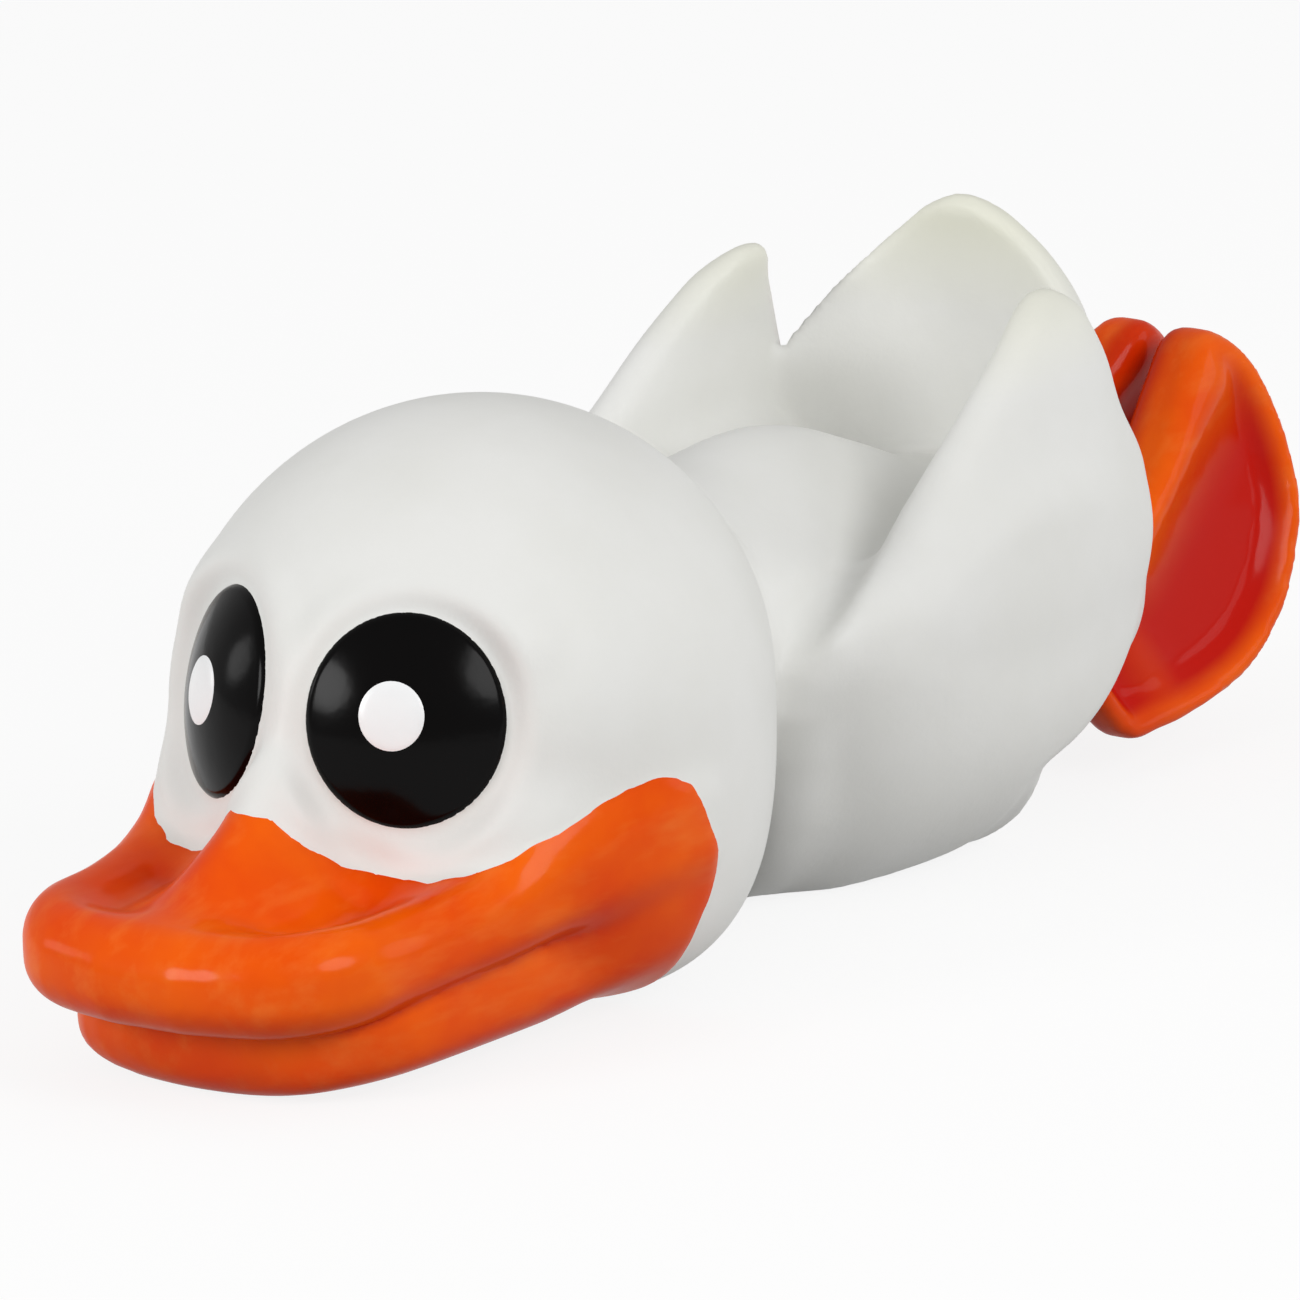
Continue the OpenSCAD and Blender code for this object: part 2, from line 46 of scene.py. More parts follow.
# ---------------------------------------------------------------- main sizes, as in the part's source
TIP_Y = -66.3037                                # front of the bill
BILL_LENGTH = 19.0
HEAD = dict(width=43.0, length=46.0, top=43.8, low=0.2)
BROW_Y = TIP_Y + BILL_LENGTH
HEAD_Y = BROW_Y + HEAD["length"] / 2
HEAD_Z = (HEAD["top"] + HEAD["low"]) / 2
HEAD_R = (HEAD["top"] - HEAD["low"]) / 2
NECK_TURN = math.radians(144)                   # round the head, from its front to the neck
NECK_Y = HEAD_Y - HEAD["length"] / 2 * math.cos(NECK_TURN)
NECK_R = HEAD_R * math.sin(NECK_TURN)
TRUNK = dict(length=49.0, width=39.0, height=33.7, rise=9.0, sink=1.7)
RUMP_Y = NECK_Y + TRUNK["length"]
RUMP_Z = HEAD_Z * 0.84
SQUEAK_Y = NECK_Y + 0.45 * TRUNK["length"]      # axis of the squeaker in the belly

# ---------------------------------------------------------------- the grid that carries the fields
VOXEL = 0.45
COUNT = np.array([119, 316, 120])
LOW = np.array([-(COUNT[0] - 1) / 2 * VOXEL, -71.0, -4.0])
BAND = 9.0                                      # fields of meshes reach this far from their surface
FAR_OFF = 99.0
AX, AY, AZ = [LOW[i] + VOXEL * np.arange(COUNT[i]) for i in range(3)]
GX, GY, GZ = AX[:, None, None], AY[None, :, None], AZ[None, None, :]
PY, PZ = np.meshgrid(AY, AZ, indexing="ij")


# ---------------------------------------------------------------- curves
def curve(stations, t):
    """Smooth curve through [place, value] stations, as the part's source draws it."""
    P = np.array(stations, float)
    t = np.clip(np.asarray(t, float), P[0, 0], P[-1, 0])
    n = len(P)
    lo = np.maximum(np.arange(n) - 1, 0)
    hi = np.minimum(np.arange(n) + 1, n - 1)
    slope = (P[hi, 1] - P[lo, 1]) / (P[hi, 0] - P[lo, 0])
    i = np.clip(np.searchsorted(P[:, 0], t, side="right") - 1, 0, n - 2)
    h = P[i + 1, 0] - P[i, 0]
    u = (t - P[i, 0]) / h
    return (P[i, 1] * (1 + 2 * u) * (1 - u) ** 2 + slope[i] * h * u * (1 - u) ** 2
            + P[i + 1, 1] * u * u * (3 - 2 * u) - slope[i + 1] * h * u * u * (1 - u))


def at(stations, t):
    """One value of a curve."""
    return float(curve(stations, t))


def ease(t):
    """Smooth rise from 0 to 1."""
    t = np.clip(t, 0, 1)
    return t * t * (3 - 2 * t)


def bell(distance, reach):
    """1 at no distance, falling off smoothly over about the reach."""
    return np.exp(-(distance / reach) ** 2)


def smooth_loop(points, steps=10):
    """Closed smooth curve through a few points."""
    P = np.array(points, float)
    u = np.linspace(0, 1, steps, endpoint=False)[:, None]
    out = []
    for i in range(len(P)):
        a, b, c, d = P[i - 1], P[i], P[(i + 1) % len(P)], P[(i + 2) % len(P)]
        out.append(0.5 * (2 * b + (c - a) * u + (2 * a - 5 * b + 4 * c - d) * u ** 2
                          + (3 * b - 3 * c + d - a) * u ** 3))
    return np.vstack(out)


def loop_distance(loop, a, b):
    """Signed distance in a plane from a closed loop, negative inside."""
    best = np.full(np.broadcast(a, b).shape, 1e9)
    inside = np.zeros(best.shape, bool)
    for p, q in zip(loop, np.roll(loop, -1, 0)):
        ex, ey = q - p
        px, py = a - p[0], b - p[1]
        t = np.clip((px * ex + py * ey) / (ex * ex + ey * ey), 0, 1)
        best = np.minimum(best, (px - t * ex) ** 2 + (py - t * ey) ** 2)
        inside ^= ((p[1] <= b) != (q[1] <= b)) & (a < p[0] + (b - p[1]) * ex / (ey if ey else 1e-9))
    return np.where(inside, -1, 1) * np.sqrt(best)


def line_distance(p, q, a, b):
    """Distance in a plane from the line between two points."""
    ex, ey = q[0] - p[0], q[1] - p[1]
    t = np.clip(((a - p[0]) * ex + (b - p[1]) * ey) / (ex * ex + ey * ey), 0, 1)
    return np.hypot(a - p[0] - t * ex, b - p[1] - t * ey)


# ---------------------------------------------------------------- lofts
RING_POINTS = 96
AROUND = 2 * np.pi * np.arange(RING_POINTS) / RING_POINTS
CA, SA = np.cos(AROUND), np.sin(AROUND)
BLUNT_C, BLUNT_S = [np.sign(v) * np.abs(v) ** 0.72 for v in (CA, SA)]   # a blunt oval, for wings and tail
FLAT = np.sign(SA) * np.sqrt(np.abs(SA))                                # a flat oval, for the lower bill


def ring_y(y, w, mid, top, low, power=2.0):
    """Ring across the length: half width, middle, top, bottom, and how square its lower half is."""
    q = np.where(SA < 0, 2 / power, 1.0)
    x = w * np.sign(CA) * np.abs(CA) ** q
    z = np.where(SA > 0, mid + (top - mid) * SA, mid - (mid - low) * np.abs(SA) ** q)
    return np.stack([x, np.full_like(x, y), z], -1)


def loft(rings, first, last):
    """Closed mesh over a row of rings: points, triangles, quads."""
    R = np.array(rings, float)
    m, n = R.shape[:2]
    points = np.vstack([[first], R.reshape(-1, 3), [last]])
    k, i = np.meshgrid(np.arange(m - 1), np.arange(n), indexing="ij")
    a = 1 + k * n + i
    b = 1 + k * n + (i + 1) % n
    quads = np.stack([a, b, b + n, a + n], -1).reshape(-1, 4)
    i = np.arange(n)
    e = 1 + (m - 1) * n
    tris = np.vstack([np.stack([0 * i, 1 + (i + 1) % n, 1 + i], -1),
                      np.stack([e + i, e + (i + 1) % n, 0 * i + 1 + m * n], -1)])
    return points, tris, quads


def capped(rings, first, last):
    """Loft whose end points lie at these steps from the middles of its end rings."""
    return loft(rings, rings[0].mean(0) + first, rings[-1].mean(0) + last)


# ---------------------------------------------------------------- fields
def field(form):
    """Signed distance of a closed mesh on the grid, clipped to the band."""
    points, tris, quads = form
    grid = openvdb.FloatGrid.createLevelSetFromPolygons(
        (points - LOW).astype(np.float32), triangles=tris.astype(np.uint32),
        quads=quads.astype(np.uint32), transform=openvdb.createLinearTransform(voxelSize=VOXEL),
        halfWidth=BAND / VOXEL)
    out = np.empty(COUNT, np.float32)
    grid.copyToArray(out)
    return out


def melt(a, b, k):
    """Union of two fields with a fillet of about k."""
    h = np.maximum(k - np.abs(a - b), 0) / k
    return np.minimum(a, b) - h * h * k / 4


def both(values):
    """A form and its mirror image."""
    return np.minimum(values, values[::-1])


def ball(centre, radii):
    """Field of an ellipsoid, near enough to a distance close to its surface."""
    x, y, z = GX - centre[0], GY - centre[1], GZ - centre[2]
    a = np.sqrt((x / radii[0]) ** 2 + (y / radii[1]) ** 2 + (z / radii[2]) ** 2)
    b = np.sqrt((x / radii[0] ** 2) ** 2 + (y / radii[1] ** 2) ** 2 + (z / radii[2] ** 2) ** 2)
    return (a * (a - 1) / np.maximum(b, 1e-6)).astype(np.float32)


def rod(rows):
    """Field of a round rod along rows of (x, y, z, radius)."""
    out = np.float32(FAR_OFF)
    for (*p, r), (*q, t) in zip(rows, rows[1:]):
        d = np.subtract(q, p)
        x, y, z = GX - p[0], GY - p[1], GZ - p[2]
        k = np.clip((x * d[0] + y * d[1] + z * d[2]) / (d @ d), 0, 1)
        far = np.sqrt((x - k * d[0]) ** 2 + (y - k * d[1]) ** 2 + (z - k * d[2]) ** 2)
        out = np.minimum(out, (far - r - (t - r) * k).astype(np.float32))
    return out


def drum(radius, high, low=-np.inf):
    """Field of an upright drum round the squeaker's axis."""
    reach = np.hypot(GX, GY - SQUEAK_Y)
    return np.maximum(reach - radius, np.maximum(low - GZ, GZ - high))


def rounded(edge, face, radius):
    """Field of a plate with a rounded rim, from the distances to its edge and face drawn in by the radius."""
    corner = np.sqrt(np.maximum(edge, 0) ** 2 + np.maximum(face, 0) ** 2)
    return (corner + np.minimum(np.maximum(edge, face), 0) - radius).astype(np.float32)


def plate(edge, middle, half, radius):
    """Field of a lying plate: edge distance, middle height and half thickness over (x, y)."""
    radius = np.minimum(radius, half)
    face = np.abs(GZ - middle[..., None]) - (half - radius)[..., None]
    return rounded((edge + radius)[..., None], face, radius[..., None])


def slab(edge, middle, half, radius):
    """Field of a standing plate: edge distance, middle x and half thickness over (y, z)."""
    face = np.abs(GX - middle[None]) - (half - radius)[None]
    return rounded((edge + radius)[None], face, radius)


# ---------------------------------------------------------------- head
JOWL = [[0, 0], [0.3, 0.5], [0.55, 1], [0.8, 0.95], [0.93, 0.4], [1, 0]]
JOWL_SQUARE = 1.9                               # added to the power of the section's lower half
FACE_FULL = 0.88                                # power that makes the face fuller than an ellipsoid


def head_form():
    rings = []
    for s in np.linspace(0.02, 1, 48):
        turn = NECK_TURN * s
        r = HEAD_R * math.sin(turn)
        wide = math.sin(turn) ** (FACE_FULL if turn < math.pi / 2 else 1.0)
        rings.append(ring_y(HEAD_Y - HEAD["length"] / 2 * math.cos(turn), HEAD["width"] / 2 * wide,
                            HEAD_Z, HEAD_Z + r, HEAD_Z - r, 2 + JOWL_SQUARE * at(JOWL, s)))
    return loft(rings, [0, BROW_Y, HEAD_Z], [0, NECK_Y, HEAD_Z])


# ---------------------------------------------------------------- trunk, as shares from neck to rump
TRUNK_HALF = [[0, 0.68], [0.1, 0.81], [0.22, 0.93], [0.36, 0.99], [0.52, 1], [0.68, 0.97], [0.82, 0.95],
              [1, 0.92]]
TRUNK_TOP = [[0, 1], [0.12, 0.985], [0.3, 1], [0.42, 0.97], [0.55, 0.895], [0.67, 0.82], [0.8, 0.79],
             [1, 0.79]]
TRUNK_MID = [[0, 1], [0.15, 0.86], [0.35, 0.7], [0.6, 0.66], [0.8, 0.72], [1, 0.84]]
HUMP_RISE = [[0, 0], [0.1, 3.5], [0.22, 7], [0.4, 7.6], [0.55, 5], [0.68, 1], [0.75, 0], [1, 0]]
HUMP_HALF = 9.0
NECK_DROP = [[0, 1], [0.08, 0.5], [0.18, 0.12], [0.3, 0], [1, 0]]
BELLY_PRESS = [[0, 0], [0.18, 0.4], [0.28, 1], [0.58, 1], [0.62, 1], [0.66, 0], [1, 0]]
RUMP_LIFT = [[0, 0], [0.6, 0], [0.62, 0], [0.66, 0.34], [0.78, 0.64], [1, 1]]
RUMP_START, RUMP_REACH, RUMP_POWER = 0.58, 0.42, 2.6
SIDE_LEAD = 0.13                                # how much earlier the belly lifts at its sides
SIDE_LEAD_START, SIDE_LEAD_REACH = 0.35, 0.16


def rump_end(s):
    """Share of the section that is left where the rump rounds off."""
    t = np.clip((s - RUMP_START) / RUMP_REACH, 0, 1)
    return (1 - t ** RUMP_POWER) ** (1 / RUMP_POWER)


def trunk_low(s):
    return ((HEAD_Z - NECK_R) * curve(NECK_DROP, s) - TRUNK["sink"] * curve(BELLY_PRESS, s)
            + TRUNK["rise"] * curve(RUMP_LIFT, s))


def trunk_form():
    rings = [ring_y(NECK_Y, HEAD["width"] / 2 * math.sin(NECK_TURN),
                    HEAD_Z, HEAD_Z + NECK_R, HEAD_Z - NECK_R)]
    for s in np.concatenate([np.linspace(0.02, 0.9, 60), np.linspace(0.91, 0.995, 14)]):
        end = rump_end(s)
        mid = HEAD_Z * at(TRUNK_MID, s)
        low = float(trunk_low(s))
        top = mid + (TRUNK["height"] * at(TRUNK_TOP, s) - mid) * end
        hump = at(HUMP_RISE, s)
        ring = ring_y(NECK_Y + TRUNK["length"] * s, TRUNK["width"] / 2 * at(TRUNK_HALF, s) * end,
                      mid, top - hump, mid - (mid - low) * end)
        x, z = ring[:, 0], ring[:, 2]
        lead = SIDE_LEAD * (2 * x / TRUNK["width"]) ** 4
        early = s + lead * min(max((s - SIDE_LEAD_START) / SIDE_LEAD_REACH, 0), 1)
        z = np.where(SA < 0, mid - (mid - z) * (mid - trunk_low(early)) / (mid - low), z)
        ring[:, 2] = z + np.where(SA > 0, hump * bell(x, HUMP_HALF) * np.clip(SA * 3, 0, 1), 0)
        rings.append(ring)
    return loft(rings, [0, NECK_Y, HEAD_Z], [0, RUMP_Y, RUMP_Z])


# ---------------------------------------------------------------- wings and tail, from foot to tip
LEAF_ROWS = np.concatenate([np.linspace(0, 0.9, 40), np.linspace(0.92, 0.995, 10)])
LEAF_THICK = 5.0
TIP_START, TIP_REACH = 0.93, 0.07
LEAF_FIRST, LEAF_LAST = np.zeros(3), [0, 0, 0.1]


def tip_end(h):
    """Share of the section that is left where a tip rounds off."""
    return 1 if h < TIP_START else math.sqrt(max(0, 1 - ((h - TIP_START) / TIP_REACH) ** 2))


WING_FRONT = [[0, 0.22], [0.3, 0.06], [0.41, 0.06], [0.5, 0.14], [0.58, 0.225], [0.72, 0.365], [0.83, 0.47],
              [0.93, 0.575], [1, 0.64]]
WING_BACK = [[0, 0.6], [0.33, 0.845], [0.55, 0.85], [0.7, 0.805], [0.83, 0.78], [0.93, 0.752], [1, 0.74]]
WING_PLACE = [[0, 0.58], [0.2, 0.74], [0.35, 0.8], [0.6, 0.81], [0.72, 0.8], [0.83, 0.79], [0.93, 0.755],
              [1, 0.69]]
WING_TAPER = [[0, 1.0], [0.2, 1.25], [0.35, 1.3], [0.6, 1.05], [0.8, 0.85], [1, 0.6]]
WING_OUTER = [[0, 1], [0.2, 1.05], [0.4, 1.3], [0.6, 1.3], [0.8, 1.1], [1, 1]]
WING_FOOT, WING_TOP = 0.41 * HEAD_Z, 41.8


def wing_form():
    rings = []
    for h in LEAF_ROWS:
        f = NECK_Y + TRUNK["length"] * at(WING_FRONT, h)
        b = NECK_Y + TRUNK["length"] * at(WING_BACK, h)
        x = TRUNK["width"] / 2 * at(WING_PLACE, h)
        t = LEAF_THICK * at(WING_TAPER, h)
        z = WING_FOOT + (WING_TOP - WING_FOOT) * h
        end = tip_end(h)
        side = np.where(SA < 0, at(WING_OUTER, h), 1)
        rings.append(np.stack([x - t / 2 * SA * side * end, (f + b) / 2 - (b - f) / 2 * BLUNT_C * end,
                               np.full_like(SA, z)], -1))
    return capped(rings, LEAF_FIRST, LEAF_LAST)


TAIL_HALF = [[0, 1], [0.25, 1], [0.46, 0.87], [0.66, 0.71], [0.83, 0.45], [0.95, 0.22], [1, 0.14]]
TAIL_REAR = [[0, -0.06], [0.25, -0.08], [0.48, 0.04], [0.66, 0.27], [0.83, 0.58], [1, 1]]
TAIL_CUP = [[0, 0.85], [0.25, 1], [0.46, 0.96], [0.66, 0.44], [0.83, 0.14], [1, 0]]
TAIL_TAPER = [[0, 1.15], [0.25, 1.1], [0.48, 1], [0.77, 0.75], [1, 0.5]]
TAIL = dict(width=32.4, lean=5.2, cup=10, foot=RUMP_Z + 2, top=45.2)


def tail_form():
    rings = []
    for h in LEAF_ROWS:
        w = TAIL["width"] / 2 * at(TAIL_HALF, h)
        t = LEAF_THICK * at(TAIL_TAPER, h)
        y = RUMP_Y - TAIL["lean"] * at(TAIL_REAR, h) - t / 2
        cup = TAIL["cup"] * at(TAIL_CUP, h)
        z = TAIL["foot"] + (TAIL["top"] - TAIL["foot"]) * h
        end = tip_end(h)
        rings.append(np.stack([w * end * BLUNT_C, y - cup * CA * CA - t / 2 * end * BLUNT_S,
                               np.full_like(CA, z)], -1))
    return capped(rings, LEAF_FIRST, LEAF_LAST)


# ---------------------------------------------------------------- bill
BILL_HALF = 17.0
BILL_REACH = HEAD_Y - TIP_Y
CHEEK_SHARE = [[0, 0], [0.4, 0], [0.55, 0.45], [0.75, 1], [1, 1]]


def bill_half(own, cheek, s):
    """Half width of the bill: its own in front, and a share of the head's at the cheeks."""
    c = min(max(at(CHEEK_SHARE, s), 0), 1)
    return BILL_HALF * at(own, s) * (1 - c) + HEAD["width"] / 2 * at(cheek, s) * c


UPPER_HALF = [[0, 0.2], [0.03, 0.54], [0.09, 0.77], [0.19, 0.915], [0.3, 0.95], [0.45, 1.01], [1, 1.1]]
UPPER_CHEEK = [[0, 0.9], [0.6, 0.93], [0.85, 1], [0.94, 1], [1, 0.95]]
UPPER_REACH = 1.1                               # how far it goes into the head, times the bill's reach
UPPER_END, UPPER_END_REACH = 0.9, 0.1
LIP_MIDDLE = [[-66, 9.5], [-60, 9.9], [-52, 10.2], [-46, 10.9], [-40, 12.3], [-34, 13.9], [-28, 14.9],
              [-20, 14.6]]
LIP_HALF = [[-66, 3.5], [-60, 3.8], [-54, 3.6], [-46, 3.5], [-38, 4.0], [-30, 4.6], [-20, 4.2]]
LIP_ROUND = 3.1
BILL_RIDGE = [[-66, 0], [-62, 0.4], [-58, 2.2], [-54, 5.2], [-50, 7.6], [-46, 7.6], [-30, 0]]
BILL_RIDGE_HALF = 5.2
DISH_START, DISH_SLOPE, DISH_DEPTH = 2.6, 5.2, 2.0      # from the edge inwards
DISH_SPARED, DISH_SPARED_HALF = 0.5, 5                  # under the ridge
DISH_END_Y, DISH_END_REACH = -44, 6


def upper_form():
    s = np.linspace(0, 1, 60)
    w = np.array([bill_half(UPPER_HALF, UPPER_CHEEK, t) for t in s])
    w *= np.sqrt(np.clip(1 - (np.clip(s - UPPER_END, 0, 1) / UPPER_END_REACH) ** 2, 0.02, 1))
    y = TIP_Y + BILL_REACH * UPPER_REACH * s
    loop = np.vstack([np.stack([w, y], -1), np.stack([-w, y], -1)[::-1]])
    x, y = np.meshgrid(AX, AY, indexing="ij")
    edge = loop_distance(loop, x, y)
    dish = ease((-edge - DISH_START) / DISH_SLOPE) * (1 - DISH_SPARED * bell(x, DISH_SPARED_HALF))
    fade = np.clip((DISH_END_Y - y) / DISH_END_REACH, 0, 1)
    lift = curve(BILL_RIDGE, y) * bell(x, BILL_RIDGE_HALF) - DISH_DEPTH * dish * fade
    return plate(edge, curve(LIP_MIDDLE, y) + lift / 2, curve(LIP_HALF, y) + lift / 2, LIP_ROUND)


LOWER_HALF = [[0, 0.3], [0.03, 0.54], [0.07, 0.7], [0.16, 0.84], [0.3, 0.92], [0.6, 0.98], [1, 1]]
LOWER_CHEEK = [[0, 0.75], [0.6, 0.79], [0.85, 0.885], [1, 0.89]]
LOWER_FLOOR = [[0, 0.36], [0.03, 0.1], [0.07, 0], [0.6, 0], [0.8, 0.32], [1, 1]]
LOWER_FLOOR_RISE = 5
LOWER_BACK = 6.0                                # how far its front lies behind the upper bill's
LOWER_REACH = 1.08
MOUTH_Z, MOUTH_START, MOUTH_RISE = 7.5, 1.05, 1.1


def lower_form():
    rings = []
    for s in np.linspace(0.005, 0.985, 44):
        w = bill_half(LOWER_HALF, LOWER_CHEEK, s)
        low = max(0, LOWER_FLOOR_RISE * at(LOWER_FLOOR, s))
        top = MOUTH_Z * (MOUTH_START + MOUTH_RISE * s)
        y = TIP_Y + LOWER_BACK + (BILL_REACH * LOWER_REACH - LOWER_BACK) * s
        rings.append(np.stack([w * CA, np.full_like(CA, y), (low + top) / 2 + (top - low) / 2 * FLAT], -1))
    return capped(rings, [0, -0.3, 0], [0, 0.3, 0])


# ---------------------------------------------------------------- feet, drawn from the side as (y, z)
FOOT = [(36, 16), (43, 17.6), (50, 21.6), (55.2, 26.5), (58.8, 29.4), (61.6, 29.0), (64.6, 26),
        (66.2, 20.6), (65.9, 15), (63.2, 10.0), (60.0, 7.0), (55.9, 4.9), (50.6, 3.8), (45.4, 3.4),
        (41.2, 3.9), (37.5, 10)]
FOOT_X, FOOT_Z = 6.4, 16                        # where the middle of a foot stands
LEAN_ABOVE, LEAN_BELOW = 0.25, 0.17             # how it leans inwards above and outwards below
FOOT_HALF, FOOT_ROUND = 2.0, 1.25
TOE, TOE_FILL, TOE_CREST = ((59, 26.6), (46, 17.6)), 4.4, 1.9
LOW_TOE, LOW_TOE_FILL, LOW_TOE_SHARE = ((47, 6.2), (42, 14)), 2.2, 0.3
FILLED = 0.9                                    # how much of the hollow a toe fills
WEB_SLOPE, WEB_SINK, WEB_THIN, TOE_THICK = 3.3, 1.8, 0.6, 0.6


def foot_web(edge, y, z, start=0.0, width=WEB_SLOPE):
    """Hollow of the foot, from 0 at its rim to 1 and filled up along the toes, and the crest of the toe."""
    far = line_distance(*TOE, y, z)
    low_toe = bell(line_distance(*LOW_TOE, y, z), LOW_TOE_FILL)
    fill = np.maximum(bell(far, TOE_FILL), LOW_TOE_SHARE * low_toe)
    return ease((-edge - start) / width) * (1 - FILLED * fill), bell(far, TOE_CREST)


def foot_form():
    edge = loop_distance(smooth_loop(FOOT), PY, PZ)
    hollow, crest = foot_web(edge, PY, PZ)
    lean = np.where(PZ > FOOT_Z, LEAN_ABOVE, LEAN_BELOW)
    middle = FOOT_X - lean * (PZ - FOOT_Z) - WEB_SINK * hollow
    return slab(edge, middle, FOOT_HALF - WEB_THIN * hollow + TOE_THICK * crest, FOOT_ROUND)


# ---------------------------------------------------------------- flank, drawn from the side as (y, z)
FLANK = [(-3, 17), (-1, 4), (6, -4), (14, -4.5), (19.4, -3), (20.0, 2), (20.15, 5), (20.2, 6.6), (22.0, 7.4),
         (25.2, 8.7), (28.7, 11.0), (32.4, 14.7), (34.6, 19.6), (33.8, 24), (28, 27), (18, 28), (8, 25)]
FLANK_HALF, FLANK_ROUND = 2.5, 1.4
FLANK_SUNK, FLANK_STAND = 0.6, 0.95             # under the trunk's side, and off it towards the rear
STAND_TOP_Z, STAND_RISE, STAND_Y, STAND_RUN = 25, 11, 2, 16
BELLY_END = 0.6                                 # behind it the flank keeps the belly's height


def flank_form():
    """A leaf-shaped plate on the trunk's side, whose rear edge stands off the rump."""
    edge = loop_distance(smooth_loop(FLANK), PY, PZ)
    s = np.clip((PY - NECK_Y) / TRUNK["length"], 0, 1)
    mid = HEAD_Z * curve(TRUNK_MID, s)
    low = -TRUNK["sink"] * curve(BELLY_PRESS, np.minimum(s, BELLY_END))
    t = np.clip(np.where(PZ < mid, (mid - PZ) / (mid - low), 0), 0, 1)
    stand = ease((STAND_TOP_Z - PZ) / STAND_RISE) * ease((PY - STAND_Y) / STAND_RUN)
    side = TRUNK["width"] / 2 * curve(TRUNK_HALF, s) * rump_end(s) * np.sqrt(1 - t * t)
    outer = side + FLANK_STAND * stand - FLANK_SUNK
    return slab(edge, outer - FLANK_HALF, np.full_like(edge, FLANK_HALF), FLANK_ROUND)


# ---------------------------------------------------------------- one moulded skin
# Rows of (x, y, z, radius) where the left wing's front edge runs down to the neck.
WING_RIDGE = [(15.3, 5.4, 24.4, 1.8), (15.4, 1.0, 23.5, 2.3), (14.9, -1.7, 22.1, 2.3), (14.2, -2.8, 20.0, 2.1),
              (13.4, -3.0, 17.6, 2.0), (12.3, -1.9, 14.2, 1.8), (10.6, 0.4, 9.0, 1.0)]
WING_FOLD = [(13.0, 7.0, 29.0, 1.2), (13.4, 3.8, 27.2, 1.8), (14.3, 0.4, 26.4, 2.0), (15.2, -3.0, 25.0, 1.8),
             (15.6, -5.2, 23.4, 1.3)]
# Swellings of the face, as centre and radii: between the eyes, over the bill's corner and over the eye.
SNOUT = ((0, -46, HEAD_Z - 4.6), (5, 5.5, 6.5))
CHEEK = ((10.0, -36.2, 15.0), (8.3, 7.6, 6.2))
BROW = ((9.4, -35.7, 29.6), (6.2, 5.2, 4.6))
FILLET = dict(flank=0.5, wing=3.6, tail=0.9, ridge=2.4, fold=1.4, snout=3.0, cheek=4.0, brow=2.5,
              lips=0.7, bill=1.6, foot=2.0, neck=2.2)
# Room for the squeaker, as radius, top and bottom: in the skin's hole and in the wadding.
HOLE_FLANGE, HOLE_NECK, HOLE_INSIDE = (6.65, 1.25), (5.0, 3), (6.9, 12.5, 2.0)
POCKET = (7.8, 13.4)
WADDING_INSET = 3.2


def moulded():
    """Fields of the whole casting, of foot against trunk, of upper against lower bill, and of the wadding."""
    head, trunk = field(head_form()), field(trunk_form())
    wings, tail = both(field(wing_form())), field(tail_form())
    back = melt(trunk, both(flank_form()), FILLET["flank"])
    back = melt(melt(back, wings, FILLET["wing"]), tail, FILLET["tail"])
    back = melt(back, both(rod(WING_RIDGE)), FILLET["ridge"])
    back = -melt(-back, both(rod(WING_FOLD)), FILLET["fold"])
    foot = both(foot_form())
    face = melt(head, ball(*SNOUT), FILLET["snout"])
    face = melt(face, both(ball(*CHEEK)), FILLET["cheek"])
    face = melt(face, both(ball(*BROW)), FILLET["brow"])
    upper, lower = upper_form(), field(lower_form())
    front = melt(face, melt(upper, lower, FILLET["lips"]), FILLET["bill"])
    whole = melt(melt(back, foot, FILLET["foot"]), front, FILLET["neck"])
    hole = np.minimum(drum(*HOLE_FLANGE), drum(*HOLE_NECK))
    hole = np.minimum(hole, drum(*HOLE_INSIDE))
    whole = np.maximum(np.maximum(whole, -GZ), -hole).astype(np.float32)
    core = np.maximum(np.minimum(head, trunk), -GZ) + WADDING_INSET
    core = np.maximum(core, -drum(*POCKET)).astype(np.float32)
    return whole, foot - back, upper - lower, core


def surface(values, step=1):
    """Quads on the zero of a field, in millimetres, from every so many of its values."""
    grid = openvdb.FloatGrid(BAND)
    grid.copyFromArray(np.ascontiguousarray(values[::step, ::step, ::step]))
    grid.transform = openvdb.createLinearTransform(voxelSize=VOXEL * step)
    points, quads = grid.convertToQuads(0.0)
    points, quads = points.astype(float) + LOW, quads.astype(np.int64)
    corner = points[quads]
    outward = (corner[:, 0] * np.cross(corner[:, 1], corner[:, 2])).sum() > 0
    return points, quads if outward else quads[:, ::-1]


def sample(values, points):
    """Field values at points, by linear interpolation."""
    g = np.clip((points - LOW) / VOXEL, 0, COUNT - 1.001)
    i = g.astype(int)
    f = g - i
    out = 0
    for corner in np.ndindex(2, 2, 2):
        w = np.prod(np.where(corner, f, 1 - f), axis=1)
        out = out + w * values[i[:, 0] + corner[0], i[:, 1] + corner[1], i[:, 2] + corner[2]]
    return out


